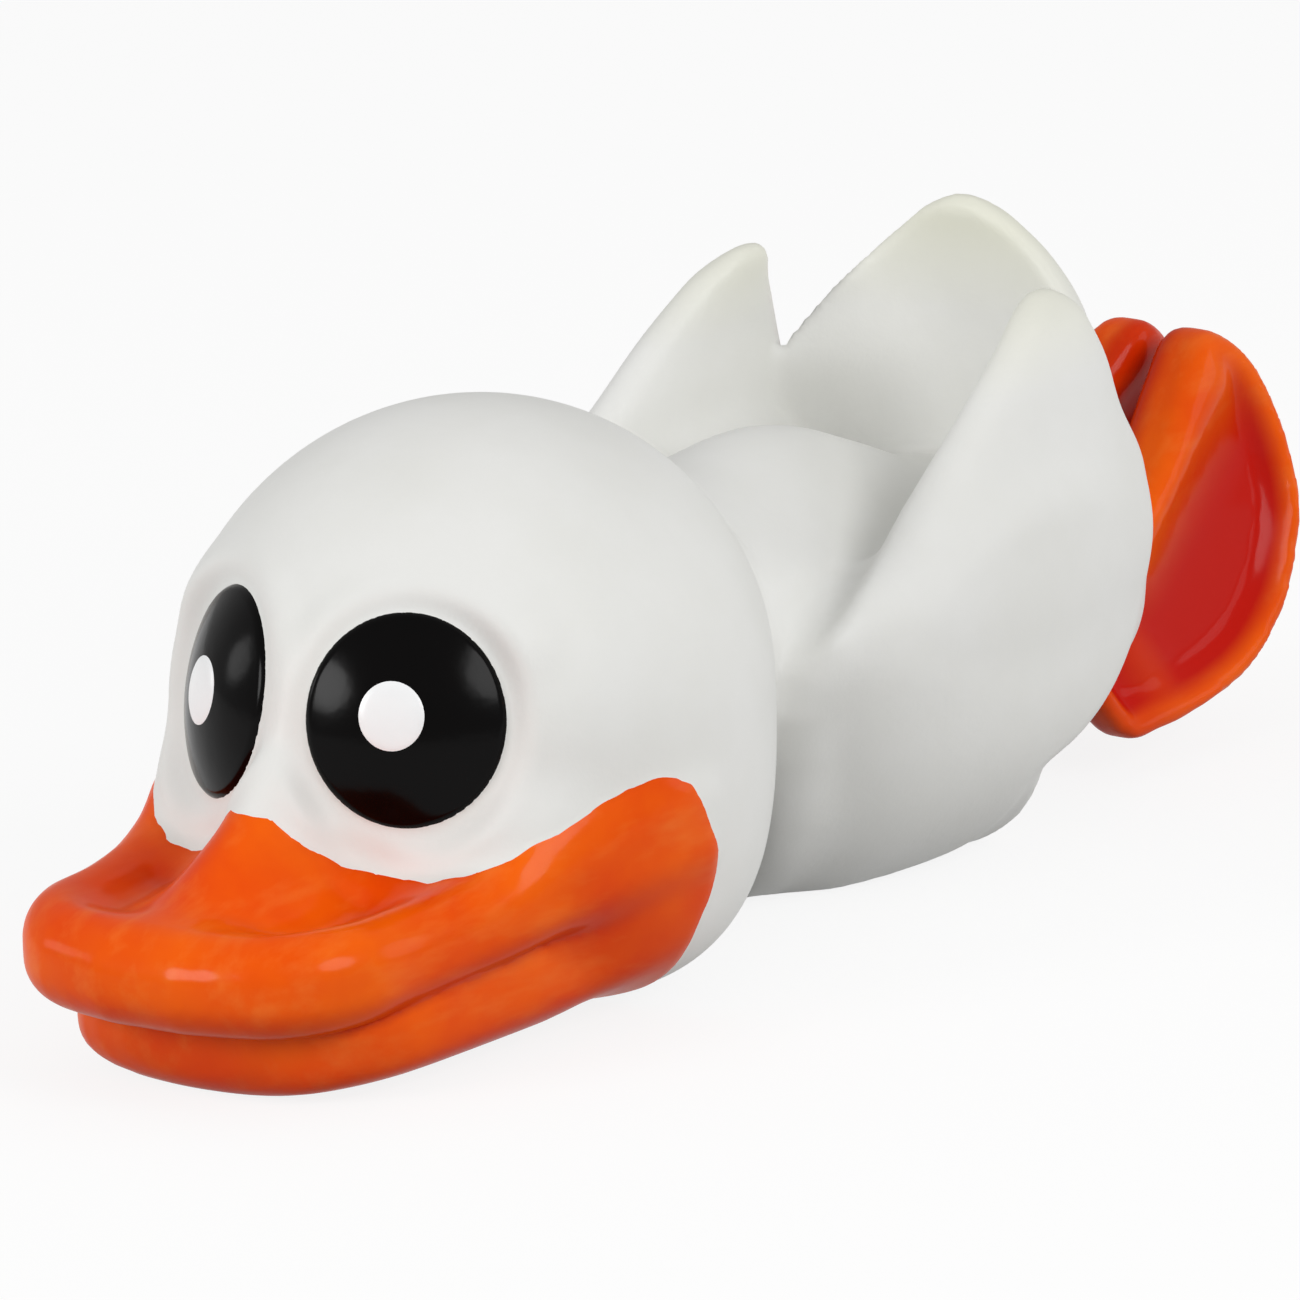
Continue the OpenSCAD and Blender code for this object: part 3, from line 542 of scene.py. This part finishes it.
class Web:
    """A mesh of quads whose points can be averaged with their neighbours."""

    def __init__(self, points, quads):
        self.points, self.quads = points, quads
        self.edges = np.vstack([quads[:, [i, (i + 1) % 4]] for i in range(4)])
        self.degree = np.bincount(self.edges.ravel(), minlength=len(points))[:, None]

    def average(self, values):
        a, b = self.edges.T
        n = len(values)
        cols = [np.bincount(a, v[b], n) + np.bincount(b, v[a], n) for v in values.T]
        return np.stack(cols, -1) / self.degree

    def relax(self, rounds):
        """Smooths the points without shrinking the form."""
        for _ in range(rounds):
            for pull in (0.5, -0.52):
                self.points = self.points + pull * (self.average(self.points) - self.points)

    def ground(self):
        """Lifts points that lie below the ground onto it."""
        self.points[:, 2] = np.maximum(self.points[:, 2], 0)

    def normals(self):
        P, q = self.points, self.quads
        d = np.cross(P[q[:, 2]] - P[q[:, 0]], P[q[:, 3]] - P[q[:, 1]])
        n = np.stack([sum(np.bincount(q[:, k], d[:, i], len(P)) for k in range(4)) for i in range(3)], -1)
        return n / np.maximum(np.linalg.norm(n, axis=1), 1e-12)[:, None]

    def hollow(self, rounds):
        """How far each point lies under the average of what surrounds it."""
        far = self.points
        for _ in range(rounds):
            far = self.average(far)
        return ((far - self.points) * self.normals()).sum(1)


def cut(points, faces, values, marks, snap=0.03):
    """Splits faces along the zero of values. Returns points, marks, and the triangles and quads of each side."""
    values = np.where(np.abs(values) < snap, 0, values)
    sides = {-1: [], 1: []}
    sign = np.sign(values)
    low, high = sign[faces].min(1), sign[faces].max(1)
    keep = {-1: faces[high <= 0], 1: faces[(low >= 0) & (high > 0)]}
    mixed = faces[(low < 0) & (high > 0)]
    tris = np.vstack([mixed[:, [0, 1, 2]], mixed[:, [0, 2, 3]]])
    extra, made = [], {}

    def crossing(a, b):
        key = (min(a, b), max(a, b))
        if key not in made:
            t = values[key[0]] / (values[key[0]] - values[key[1]])
            made[key] = len(points) + len(extra)
            extra.append((key[0], key[1], t))
        return made[key]

    for tri in tris.tolist():
        sg = [sign[v] for v in tri]
        if min(sg) >= 0 or max(sg) <= 0:
            sides[1 if max(sg) > 0 else -1].append(tri)
            continue
        for k in range(3):
            a, b, c = tri[k], tri[(k + 1) % 3], tri[(k + 2) % 3]
            sa, sb, sc = sign[a], sign[b], sign[c]
            if sa == 0 and sb * sc < 0:
                m = crossing(b, c)
                sides[int(sb)].append([a, b, m])
                sides[int(sc)].append([a, m, c])
            elif sa != 0 and sb == -sa and sc == -sa:
                m, n = crossing(a, b), crossing(a, c)
                sides[int(sa)].append([a, m, n])
                sides[int(sb)] += [[m, b, c], [m, c, n]]
    if extra:
        a, b, t = (np.array(v) for v in zip(*extra))
        t = t[:, None]
        points = np.vstack([points, points[a] * (1 - t) + points[b] * t])
        marks = np.vstack([marks, marks[a] * (1 - t) + marks[b] * t])
    return points, marks, {k: (np.array(sides[k], int).reshape(-1, 3), keep[k]) for k in (-1, 1)}


MARKS = ("hollow", "tip", "web")                # what the materials read at each point; hollow and web drive painted shade
NO_TRIS = np.zeros((0, 3), int)


def link(obj):
    bpy.context.scene.collection.objects.link(obj)
    return obj


def to_object(name, points, tris, quads, marks=None):
    """A mesh object in metres from the points that its faces use, with its marks as attributes."""
    marks = np.zeros((len(points), len(MARKS))) if marks is None else marks
    used = np.unique(np.concatenate([tris.ravel(), quads.ravel()]))
    new = np.zeros(len(points), int)
    new[used] = np.arange(len(used))
    mesh = bpy.data.meshes.new(name)
    mesh.from_pydata((points[used] * MM).tolist(), [], new[tris].tolist() + new[quads].tolist())
    mesh.validate()
    for k, label in enumerate(MARKS):
        values = marks[used, k].astype(np.float32)
        mesh.attributes.new(label, "FLOAT", "POINT").data.foreach_set("value", values)
    mesh.shade_smooth()
    return link(bpy.data.objects.new(name, mesh))


# ---------------------------------------------------------------- eyes: frame, socket, dome and dot
EYE_AT = np.array([9.42, -44.91, 25.84])        # top of the left eye's dome
EYE_TURN, EYE_TILT = math.radians(32), math.radians(12.6)
EYE_OUT = np.array([math.sin(EYE_TURN) * math.cos(EYE_TILT), -math.cos(EYE_TURN) * math.cos(EYE_TILT),
                    math.sin(EYE_TILT)])
EYE_WIDE = np.cross([0, 0, 1], EYE_OUT)
EYE_WIDE = EYE_WIDE / np.linalg.norm(EYE_WIDE)
EYE_TALL = np.cross(EYE_OUT, EYE_WIDE)
EYE_HALF = (7.52, 8.06)
EYE_SAG = 2.02                                  # how far the dome's edge lies behind its top
EYE_RIM, EYE_RIM_REACH, EYE_RIM_DROP = 0.93, 0.07, 0.4
SOCKET_GAP = 0.22                               # skin under the dome
PRESS_REACH, RAISE_REACH = 0.36, 0.45           # past the eye's edge, in half widths of the eye
SOCKET_DEPTH = 7                                # points further back belong to other forms
DOT_HALF, DOT_LIFT, DOT_SUNK = (2.55, 2.68), 0.16, 0.04


def socket(points, side):
    """Presses or raises the skin so that the eye lies in a shallow dish."""
    flip = np.array([side, 1, 1])
    d = points - EYE_AT * flip
    a, b, h = d @ (EYE_WIDE * flip), d @ (EYE_TALL * flip), d @ (EYE_OUT * flip)
    rho = np.hypot(a / EYE_HALF[0], b / EYE_HALF[1])
    aim = -EYE_SAG * np.minimum(rho, 1) ** 2 - SOCKET_GAP - h
    reach = np.where(aim < 0, PRESS_REACH, RAISE_REACH)
    move = aim * ease(1 - (rho - 1) / reach) * (h > -SOCKET_DEPTH)
    return points + move[:, None] * EYE_OUT * flip


def eye_point(side, a, b, lift):
    """Point on an eye at (a, b) from its middle, lift above the dome."""
    rho = math.hypot(a / EYE_HALF[0], b / EYE_HALF[1])
    rim = max(0, (rho - EYE_RIM) / EYE_RIM_REACH)
    rise = lift - EYE_SAG * rho * rho - EYE_RIM_DROP * rim * rim
    return (EYE_AT + a * EYE_WIDE + b * EYE_TALL + rise * EYE_OUT) * np.array([side, 1, 1])


def disc(name, place, rings, sectors, side):
    """Round patch: place(r, turn) gives each point, from the middle outwards."""
    points = [place(0, 0)]
    for k in range(1, rings + 1):
        points += [place(k / rings, 2 * math.pi * i / sectors) for i in range(sectors)]
    i = np.arange(sectors)
    j = (i + 1) % sectors
    tris = np.stack([0 * i, 1 + i, 1 + j], -1)
    first = 1 + sectors * np.arange(rings - 1)
    quads = np.vstack([np.stack([a + i, a + sectors + i, a + sectors + j, a + j], -1) for a in first])
    if side > 0:
        tris, quads = tris[:, ::-1], quads[:, ::-1]
    return to_object(name, np.array(points), tris, quads)


def eye_dome(side, name, seed):
    def place(r, turn):
        r = 1 - (1 - r) ** 1.6
        wobble = (1 + 0.010 * math.sin(3 * turn + seed) + 0.007 * math.sin(7 * turn + 2 * seed)
                  + 0.005 * math.sin(12 * turn))
        return eye_point(side, EYE_HALF[0] * r * math.cos(turn) * wobble,
                         EYE_HALF[1] * r * math.sin(turn) * wobble, 0)
    return disc(name, place, 26, 96, side)


def eye_dot(side, name, shift):
    def place(r, turn):
        a, b = shift[0] + DOT_HALF[0] * r * math.cos(turn), shift[1] + DOT_HALF[1] * r * math.sin(turn)
        return eye_point(side, a, b, DOT_LIFT * math.sqrt(max(0, 1 - r ** 4)) - DOT_SUNK)
    return disc(name, place, 10, 48, side)


# ---------------------------------------------------------------- paint
# Edge of the bill's paint on its left half, as degrees round the head from the front and height.
PAINT = [(0, 19.6), (4.1, 19.2), (6.5, 18.1), (9.3, 16.7), (14, 15.3), (18.9, 14.4), (23.5, 14.0), (28.6, 14.1),
         (35, 14.7), (41.2, 15.6), (46.6, 16.3), (52.3, 16.9), (56.6, 17.7), (61.3, 18.5), (67.3, 19.3),
         (73.3, 19.4), (79.8, 19.0), (83.5, 18.2), (85.8, 16.5), (88, 14.4), (90.6, 12.6), (91.7, 10.9),
         (90.9, 9.1), (89, 7.3), (87.7, 4.9), (88, 2.5), (88, -2)]
UNROLL = math.radians(20.5)                     # millimetres to a degree, at the head's radius
FOOT_PAINT_INSET = 0.4
FOOT_PAINT_Y = 25                               # in front of it there is no foot
PAINT_THICK, PAINT_EDGE = 0.14, 0.9
SPLIT_Y = 20                                    # the feet's paint lies behind it, the bill's before it


def paint_side(points):
    """Signed distance from the edge of the bill's paint, negative on the bill."""
    turn = np.degrees(np.arctan2(points[:, 0], HEAD_Y - points[:, 1]))
    loop = np.array(PAINT + [(-t, z) for t, z in PAINT[:0:-1]], float)
    loop[:, 0] *= UNROLL
    u, z = turn * UNROLL, points[:, 2]
    wave = 0.14 * np.sin(0.55 * u + 0.4 * z) + 0.07 * np.sin(1.3 * u + 1.0) + 0.03 * np.sin(2.4 * u + 2.0)
    return loop_distance(loop, u, z) + wave


def swell(points, normals, values):
    """Lifts paint off the skin, from nothing at its edge."""
    t = np.clip(-values / PAINT_EDGE, 0, 1)
    return points + normals * (PAINT_THICK * t * (2 - t))[:, None]


TIP_LOW, TIP_RISE = 34, 9                       # from here up the tips of wings and tail are tinted
WEB_RED_START, WEB_RED_SLOPE = 0.8, 1.5         # in from the foot's rim, for the webs' red: partly gathered paint, partly painted shade
# Strengths and places of the painted shade that reddens the paint.
BETWEEN_SHADE, BETWEEN_START, BETWEEN_REACH = 0.65, 0.3, 1.8
HEEL_SHADE, HEEL_Y, HEEL_RUN, HEEL_Z, HEEL_RISE = 0.4, 51, 7, 11, 4
UNDER_SHADE, UNDER_Z, UNDER_RISE, UNDER_SLOPE, UNDER_TURN = 0.4, 6, 5, 0.1, 0.7
BILL_END_Y = -20
DISH_SHADE, DISH_Z, DISH_RISE = 0.6, 11, 2
DISH_AT, DISH_SPAN = np.array((-11.0, -53.5)), np.array((4.0, 8.0))


def painted_shade_red(points, normals, foot_edge):
    """Painted shade, as redder paint: in the webs (partly paint gathered there), between the feet, under the
    bill and in its right-hand dish.
    """
    x, y, z = points.T
    rim = loop_distance(smooth_loop(FOOT), y, z)
    # webs: partly gathered paint, partly painted shade in the hollow
    web_red = foot_web(rim, y, z, WEB_RED_START, WEB_RED_SLOPE)[0]
    outward = np.abs(x) - FOOT_X + LEAN_ABOVE * (z - FOOT_Z)
    # painted shade in the gap between the feet
    between = BETWEEN_SHADE * ease((BETWEEN_START - outward) / BETWEEN_REACH)
    # painted shade on the low front of the feet, next to the body
    heel_shade = HEEL_SHADE * ease((HEEL_Y - y) / HEEL_RUN) * ease((HEEL_Z - z) / HEEL_RISE)
    red = np.maximum(np.maximum(web_red, between), heel_shade) * (foot_edge < 1)
    # painted shade under the bill: low and downward-facing faces are redder
    under = np.maximum(UNDER_SHADE * ease((UNDER_Z - z) / UNDER_RISE),
                       UNDER_SHADE * ease((UNDER_SLOPE - normals[:, 2]) / UNDER_TURN))
    red += under * (y < BILL_END_Y)
    # painted shade in the bill's right-hand dish
    dish = (points[:, :2] - DISH_AT) / DISH_SPAN
    return red + DISH_SHADE * np.exp(-(dish ** 2).sum(1)) * ease((z - DISH_Z) / DISH_RISE) * (y < DISH_END_Y)


# ---------------------------------------------------------------- the pieces
whole, foot_side, lip_side, core = moulded()
web = Web(*surface(whole))
web.relax(3)
web.ground()
for side in (1, -1):
    web.points = socket(web.points, side)
normals = web.normals()
foot_edge = np.where(web.points[:, 1] > FOOT_PAINT_Y, sample(foot_side, web.points) + FOOT_PAINT_INSET, BAND)
orange = np.minimum(paint_side(web.points), foot_edge)
web.points = swell(web.points, normals, orange)
web.ground()
tip = np.clip((web.points[:, 2] - TIP_LOW) / TIP_RISE, 0, 1) * (web.points[:, 1] > 0)
# marks: hollow (for painted shade in folds), tips, and the redder painted shade
marks = np.stack([web.hollow(14), tip, painted_shade_red(web.points, normals, foot_edge)], -1)
points, marks, parts = cut(web.points, web.quads, orange, marks)
lips = sample(lip_side, points)

PAINTED = ("foot_left", "foot_right", "upper_bill", "lower_bill")


def zone(faces):
    """Which painted part each face belongs to, as a place in PAINTED."""
    x, y, _ = points[faces].mean(1).T
    return np.where(y > SPLIT_Y, np.where(x > 0, 0, 1), np.where(lips[faces].mean(1) < 0, 2, 3))


pieces = {"skin": to_object("skin", points, *parts[1], marks)}
for k, label in enumerate(PAINTED):
    faces = [f[zone(f) == k] for f in parts[-1]]
    pieces[label] = to_object(label + "_paint", points, *faces, marks)
pieces["eye_left"] = eye_dome(1, "eye_left_dome", 1.0)
pieces["eye_right"] = eye_dome(-1, "eye_right_dome", 2.6)
pieces["eye_dot_left"] = eye_dot(1, "eye_left_dot", (-0.88, 0.42))
pieces["eye_dot_right"] = eye_dot(-1, "eye_right_dot", (0.08, -0.1))
stuffing = Web(*surface(core, 3))
stuffing.relax(2)
pieces["filling"] = to_object("stuffing", stuffing.points, NO_TRIS, stuffing.quads)

SLOT = {"skin": "white_skin", "filling": "wadding", "eye_left": "black_paint", "eye_right": "black_paint",
        "eye_dot_left": "white_paint", "eye_dot_right": "white_paint"}
for label, obj in pieces.items():
    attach(obj, "duck")
    if label == "skin":
        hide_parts("trunk", "head", "wing_left", "wing_right", "tail")
    else:
        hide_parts(label)


# ---------------------------------------------------------------- materials
def linear(rgb):
    """Colour of a shader socket from its usual values of 0 to 255."""
    return (*(((c / 255 + 0.055) / 1.055) ** 2.4 if c > 10 else c / 255 / 12.92 for c in rgb), 1)


def put(tree, socket, value):
    """Links an output to a socket, or sets the socket to a value."""
    if hasattr(value, "is_output"):
        tree.links.new(value, socket)
    else:
        socket.default_value = value


class Finish:
    """A material under construction."""

    def __init__(self, name, rough, **sockets):
        self.material = bpy.data.materials.new(name)
        self.material.use_nodes = True
        self.tree = self.material.node_tree
        self.shader = self.tree.nodes["Principled BSDF"]
        self.shader.inputs["Roughness"].default_value = rough
        for key, value in sockets.items():
            self.shader.inputs[key.replace("_", " ")].default_value = value
        self.place = self.tree.nodes.new("ShaderNodeTexCoord").outputs["Object"]

    def node(self, kind, **inputs):
        n = self.tree.nodes.new("ShaderNode" + kind)
        for key, value in inputs.items():
            put(self.tree, n.inputs[key.replace("_", " ")], value)
        return n

    def noise(self, scale, detail=3.0, rough=0.5, place=None):
        n = self.node("TexNoise", Vector=place or self.place, Scale=scale, Detail=detail, Roughness=rough)
        return n.outputs["Fac"]

    def ramp(self, fac, low, high):
        """0 to 1 as the value goes from low to high."""
        return self.node("MapRange", Value=fac, From_Min=low, From_Max=high).outputs["Result"]

    def scaled(self, fac, low, high):
        """Low to high as the value goes from 0 to 1."""
        return self.node("MapRange", Value=fac, To_Min=low, To_Max=high).outputs["Result"]

    def mix(self, fac, a, b):
        n = self.tree.nodes.new("ShaderNodeMix")
        n.data_type = "RGBA"
        for k, value in ((0, fac), (6, a), (7, b)):         # Factor, and A and B as colours
            put(self.tree, n.inputs[k], value)
        return n.outputs[2]

    def mark(self, name):
        n = self.tree.nodes.new("ShaderNodeAttribute")
        n.attribute_name = name
        return n.outputs["Fac"]

    def finish(self, colour, height, strength, distance, rough=None):
        put(self.tree, self.shader.inputs["Base Color"], colour)
        if rough is not None:
            put(self.tree, self.shader.inputs["Roughness"], rough)
        bump = self.node("Bump", Height=height, Strength=strength, Distance=distance)
        put(self.tree, self.shader.inputs["Normal"], bump.outputs["Normal"])
        return self.material


def white_latex():
    """Cast latex, yellower at the thin tips, and greyer in the folds as painted shade."""
    m = Finish("white_latex", 0.5)
    base = m.mix(m.ramp(m.noise(90, 4), 0.35, 0.65), linear((232, 232, 228)), linear((236, 236, 233)))
    base = m.mix(m.ramp(m.mark("tip"), 0.2, 1.0), base, linear((235, 235, 220)))
    # painted shade: the skin turns greyer in folds and hollows
    base = m.mix(m.ramp(m.mark("hollow"), 0.15, 0.9), base, linear((216, 215, 210)))
    return m.finish(base, m.noise(1500, 4, 0.6), 0.12, 0.0002, m.scaled(m.noise(160, 3), 0.44, 0.58))


def orange_paint():
    """Glossy paint with soft brush strokes whose lighter streaks are partly painted highlight, redder in hollows
    partly where it has gathered and partly as painted shade.
    """
    m = Finish("orange_paint", 0.4, Specular_IOR_Level=0.02, Coat_Weight=0.2, Coat_Roughness=0.14)
    base = m.mix(m.ramp(m.noise(95, 4), 0.3, 0.7), linear((236, 72, 0)), linear((252, 104, 4)))
    # brush strokes: lighter streaks that are partly brush texture and partly painted highlight
    along = m.node("Mapping", Vector=m.place, Rotation=(0.3, 0, 0.25), Scale=(4.0, 0.9, 4.0)).outputs[0]
    strokes = m.ramp(m.noise(90, 4, 0.6, along), 0.5, 0.72)
    base = m.mix(m.scaled(strokes, 0.0, 0.34), base, linear((250, 134, 54)))
    # redder in hollows: partly paint gathered there, partly painted shade
    base = m.mix(m.ramp(m.mark("hollow"), 0.04, 0.7), base, linear((182, 36, 3)))
    # painted shade: the web mark reddens the webs, the gap between the feet, the bill's underside and its dish
    base = m.mix(m.ramp(m.mark("web"), 0.0, 0.95), base, linear((198, 20, 4)))
    return m.finish(base, m.noise(350, 3, 0.5), 0.15, 0.0004, m.scaled(m.noise(220, 3), 0.32, 0.48))


def black_paint():
    m = Finish("black_paint", 0.16, Specular_IOR_Level=0.1)
    base = m.mix(m.noise(200, 3), linear((2, 2, 2)), linear((6, 4, 4)))
    return m.finish(base, m.noise(260, 3, 0.5), 0.1, 0.0004)


def white_paint():
    m = Finish("white_paint", 0.25)
    base = m.mix(m.noise(400, 3), linear((245, 246, 247)), linear((252, 253, 253)))
    return m.finish(base, m.noise(700, 3, 0.5), 0.1, 0.0003)


def wadding():
    m = Finish("wadding", 0.95)
    base = m.mix(m.noise(700, 6, 0.7), linear((205, 204, 200)), linear((240, 239, 236)))
    return m.finish(base, m.noise(900, 8, 0.75), 0.9, 0.0008)


def squeaker_plastic():
    m = Finish("squeaker_plastic", 0.4)
    base = m.mix(m.ramp(m.noise(300, 3), 0.3, 0.7), linear((214, 216, 214)), linear((226, 227, 224)))
    return m.finish(base, m.noise(1800, 3, 0.5), 0.1, 0.0001, m.scaled(m.noise(500, 3), 0.34, 0.48))


def reed_film():
    m = Finish("reed_film", 0.25)
    base = m.mix(m.noise(900, 3), linear((196, 190, 170)), linear((210, 205, 186)))
    return m.finish(base, m.noise(2500, 2, 0.5), 0.08, 0.0001)


FINISH = {"wadding": wadding(), "squeaker_plastic": squeaker_plastic(), "reed_film": reed_film(),
          "white_skin": white_latex(), "orange_paint": orange_paint(), "black_paint": black_paint(),
          "white_paint": white_paint()}
for label, obj in pieces.items():
    obj.data.materials.append(FINISH[SLOT.get(label, "orange_paint")])
for label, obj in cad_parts.items():
    if label.startswith("squeaker"):
        obj.data.materials.clear()
        obj.data.materials.append(FINISH["reed_film" if label.endswith("reed") else "squeaker_plastic"])

# ---------------------------------------------------------------- camera, in metres from here on
AZIMUTH, ELEVATION, ROLL = math.radians(38), math.radians(15.3), math.radians(2.5)
BACK = Vector((math.sin(AZIMUTH) * math.cos(ELEVATION), -math.cos(AZIMUTH) * math.cos(ELEVATION),
               math.sin(ELEVATION)))
LEVEL_RIGHT = Vector((math.cos(AZIMUTH), math.sin(AZIMUTH), 0))
LEVEL_UP = BACK.cross(LEVEL_RIGHT)
RIGHT = math.cos(ROLL) * LEVEL_RIGHT - math.sin(ROLL) * LEVEL_UP
UP = math.sin(ROLL) * LEVEL_RIGHT + math.cos(ROLL) * LEVEL_UP
AIM = (Vector((0, -66.0, 9.8)) + 37.6 * RIGHT + 24.45 * UP) * MM     # from the front of the bill
FAR, WIDE = 4.0, 0.0947                         # distance, and width of the picture there
SENSOR = 36
lens = bpy.data.cameras.new("camera")
lens.sensor_width = SENSOR
lens.lens = SENSOR * FAR / WIDE
lens.clip_start, lens.clip_end = 0.1, 50
camera = link(bpy.data.objects.new("camera", lens))
turned = Matrix((RIGHT, UP, BACK)).transposed().to_4x4()
camera.matrix_world = Matrix.Translation(AIM + FAR * BACK) @ turned
bpy.context.scene.camera = camera

# ---------------------------------------------------------------- light
LAMP_AIM = Vector((0, 0, 0.02))
LAMPS = [("key", (-0.22, -0.62, 0.26), 0.26, 1.5), ("side", (0.62, -0.12, 0.36), 0.36, 1.8),
         ("rear", (0.48, 0.46, 0.22), 0.36, 0.5), ("left", (-0.58, -0.30, 0.18), 0.16, 0.18)]
for name, place, size, watts in LAMPS:
    light = bpy.data.lights.new(name, "AREA")
    light.shape, light.size, light.energy = "DISK", size, watts
    lamp = link(bpy.data.objects.new(name, light))
    lamp.location = place
    lamp.rotation_euler = (LAMP_AIM - Vector(place)).to_track_quat("-Z", "Y").to_euler()

world = bpy.data.worlds.new("world")
bpy.context.scene.world = world
world.use_nodes = True
sky = world.node_tree.nodes["Background"].inputs
sky["Color"].default_value = (1, 1, 1, 1)
sky["Strength"].default_value = 0.52

# ---------------------------------------------------------------- floor, white to the camera and in gloss
FLOOR_RADIUS, FLOOR_SIDES, FLOOR_Z = 3, 64, -0.0001
FLOOR_GREY, FLOOR_WHITE = (0.42, 0.42, 0.42, 1), (0.98, 0.98, 0.98, 1)
GLOW_SHARE = 0.86                               # the rest keeps the shadow
turns = [2 * math.pi * i / FLOOR_SIDES for i in range(FLOOR_SIDES)]
floor_mesh = bpy.data.meshes.new("floor")
floor_mesh.from_pydata([(FLOOR_RADIUS * math.cos(t), FLOOR_RADIUS * math.sin(t), FLOOR_Z) for t in turns],
                       [], [list(range(FLOOR_SIDES))])
floor = link(bpy.data.objects.new("floor", floor_mesh))
floor_finish = bpy.data.materials.new("floor")
floor_finish.use_nodes = True
floor_tree = floor_finish.node_tree


def floor_node(kind, *inputs, operation=None):
    n = floor_tree.nodes.new("ShaderNode" + kind)
    if operation:
        n.operation = operation
    for socket, value in zip(n.inputs, inputs):
        put(floor_tree, socket, value)
    return n.outputs


matt = floor_tree.nodes["Principled BSDF"]
matt.inputs["Roughness"].default_value = 0.9
path = floor_node("LightPath")
seen = floor_node("Math", path["Is Camera Ray"], path["Is Glossy Ray"], operation="MAXIMUM")
seen = floor_node("Math", seen[0], path["Is Transmission Ray"], operation="MAXIMUM")
colour = floor_node("MixRGB", seen[0], FLOOR_GREY, FLOOR_WHITE)
put(floor_tree, matt.inputs["Base Color"], colour[0])
share = floor_node("Math", seen[0], GLOW_SHARE, operation="MULTIPLY")
glow = floor_node("Emission", (1, 1, 1, 1), 1.0)
mixed = floor_node("MixShader", share[0], matt.outputs[0], glow[0])
put(floor_tree, floor_tree.nodes["Material Output"].inputs["Surface"], mixed[0])
floor_mesh.materials.append(floor_finish)

bpy.context.scene.view_settings.view_transform = "Standard"
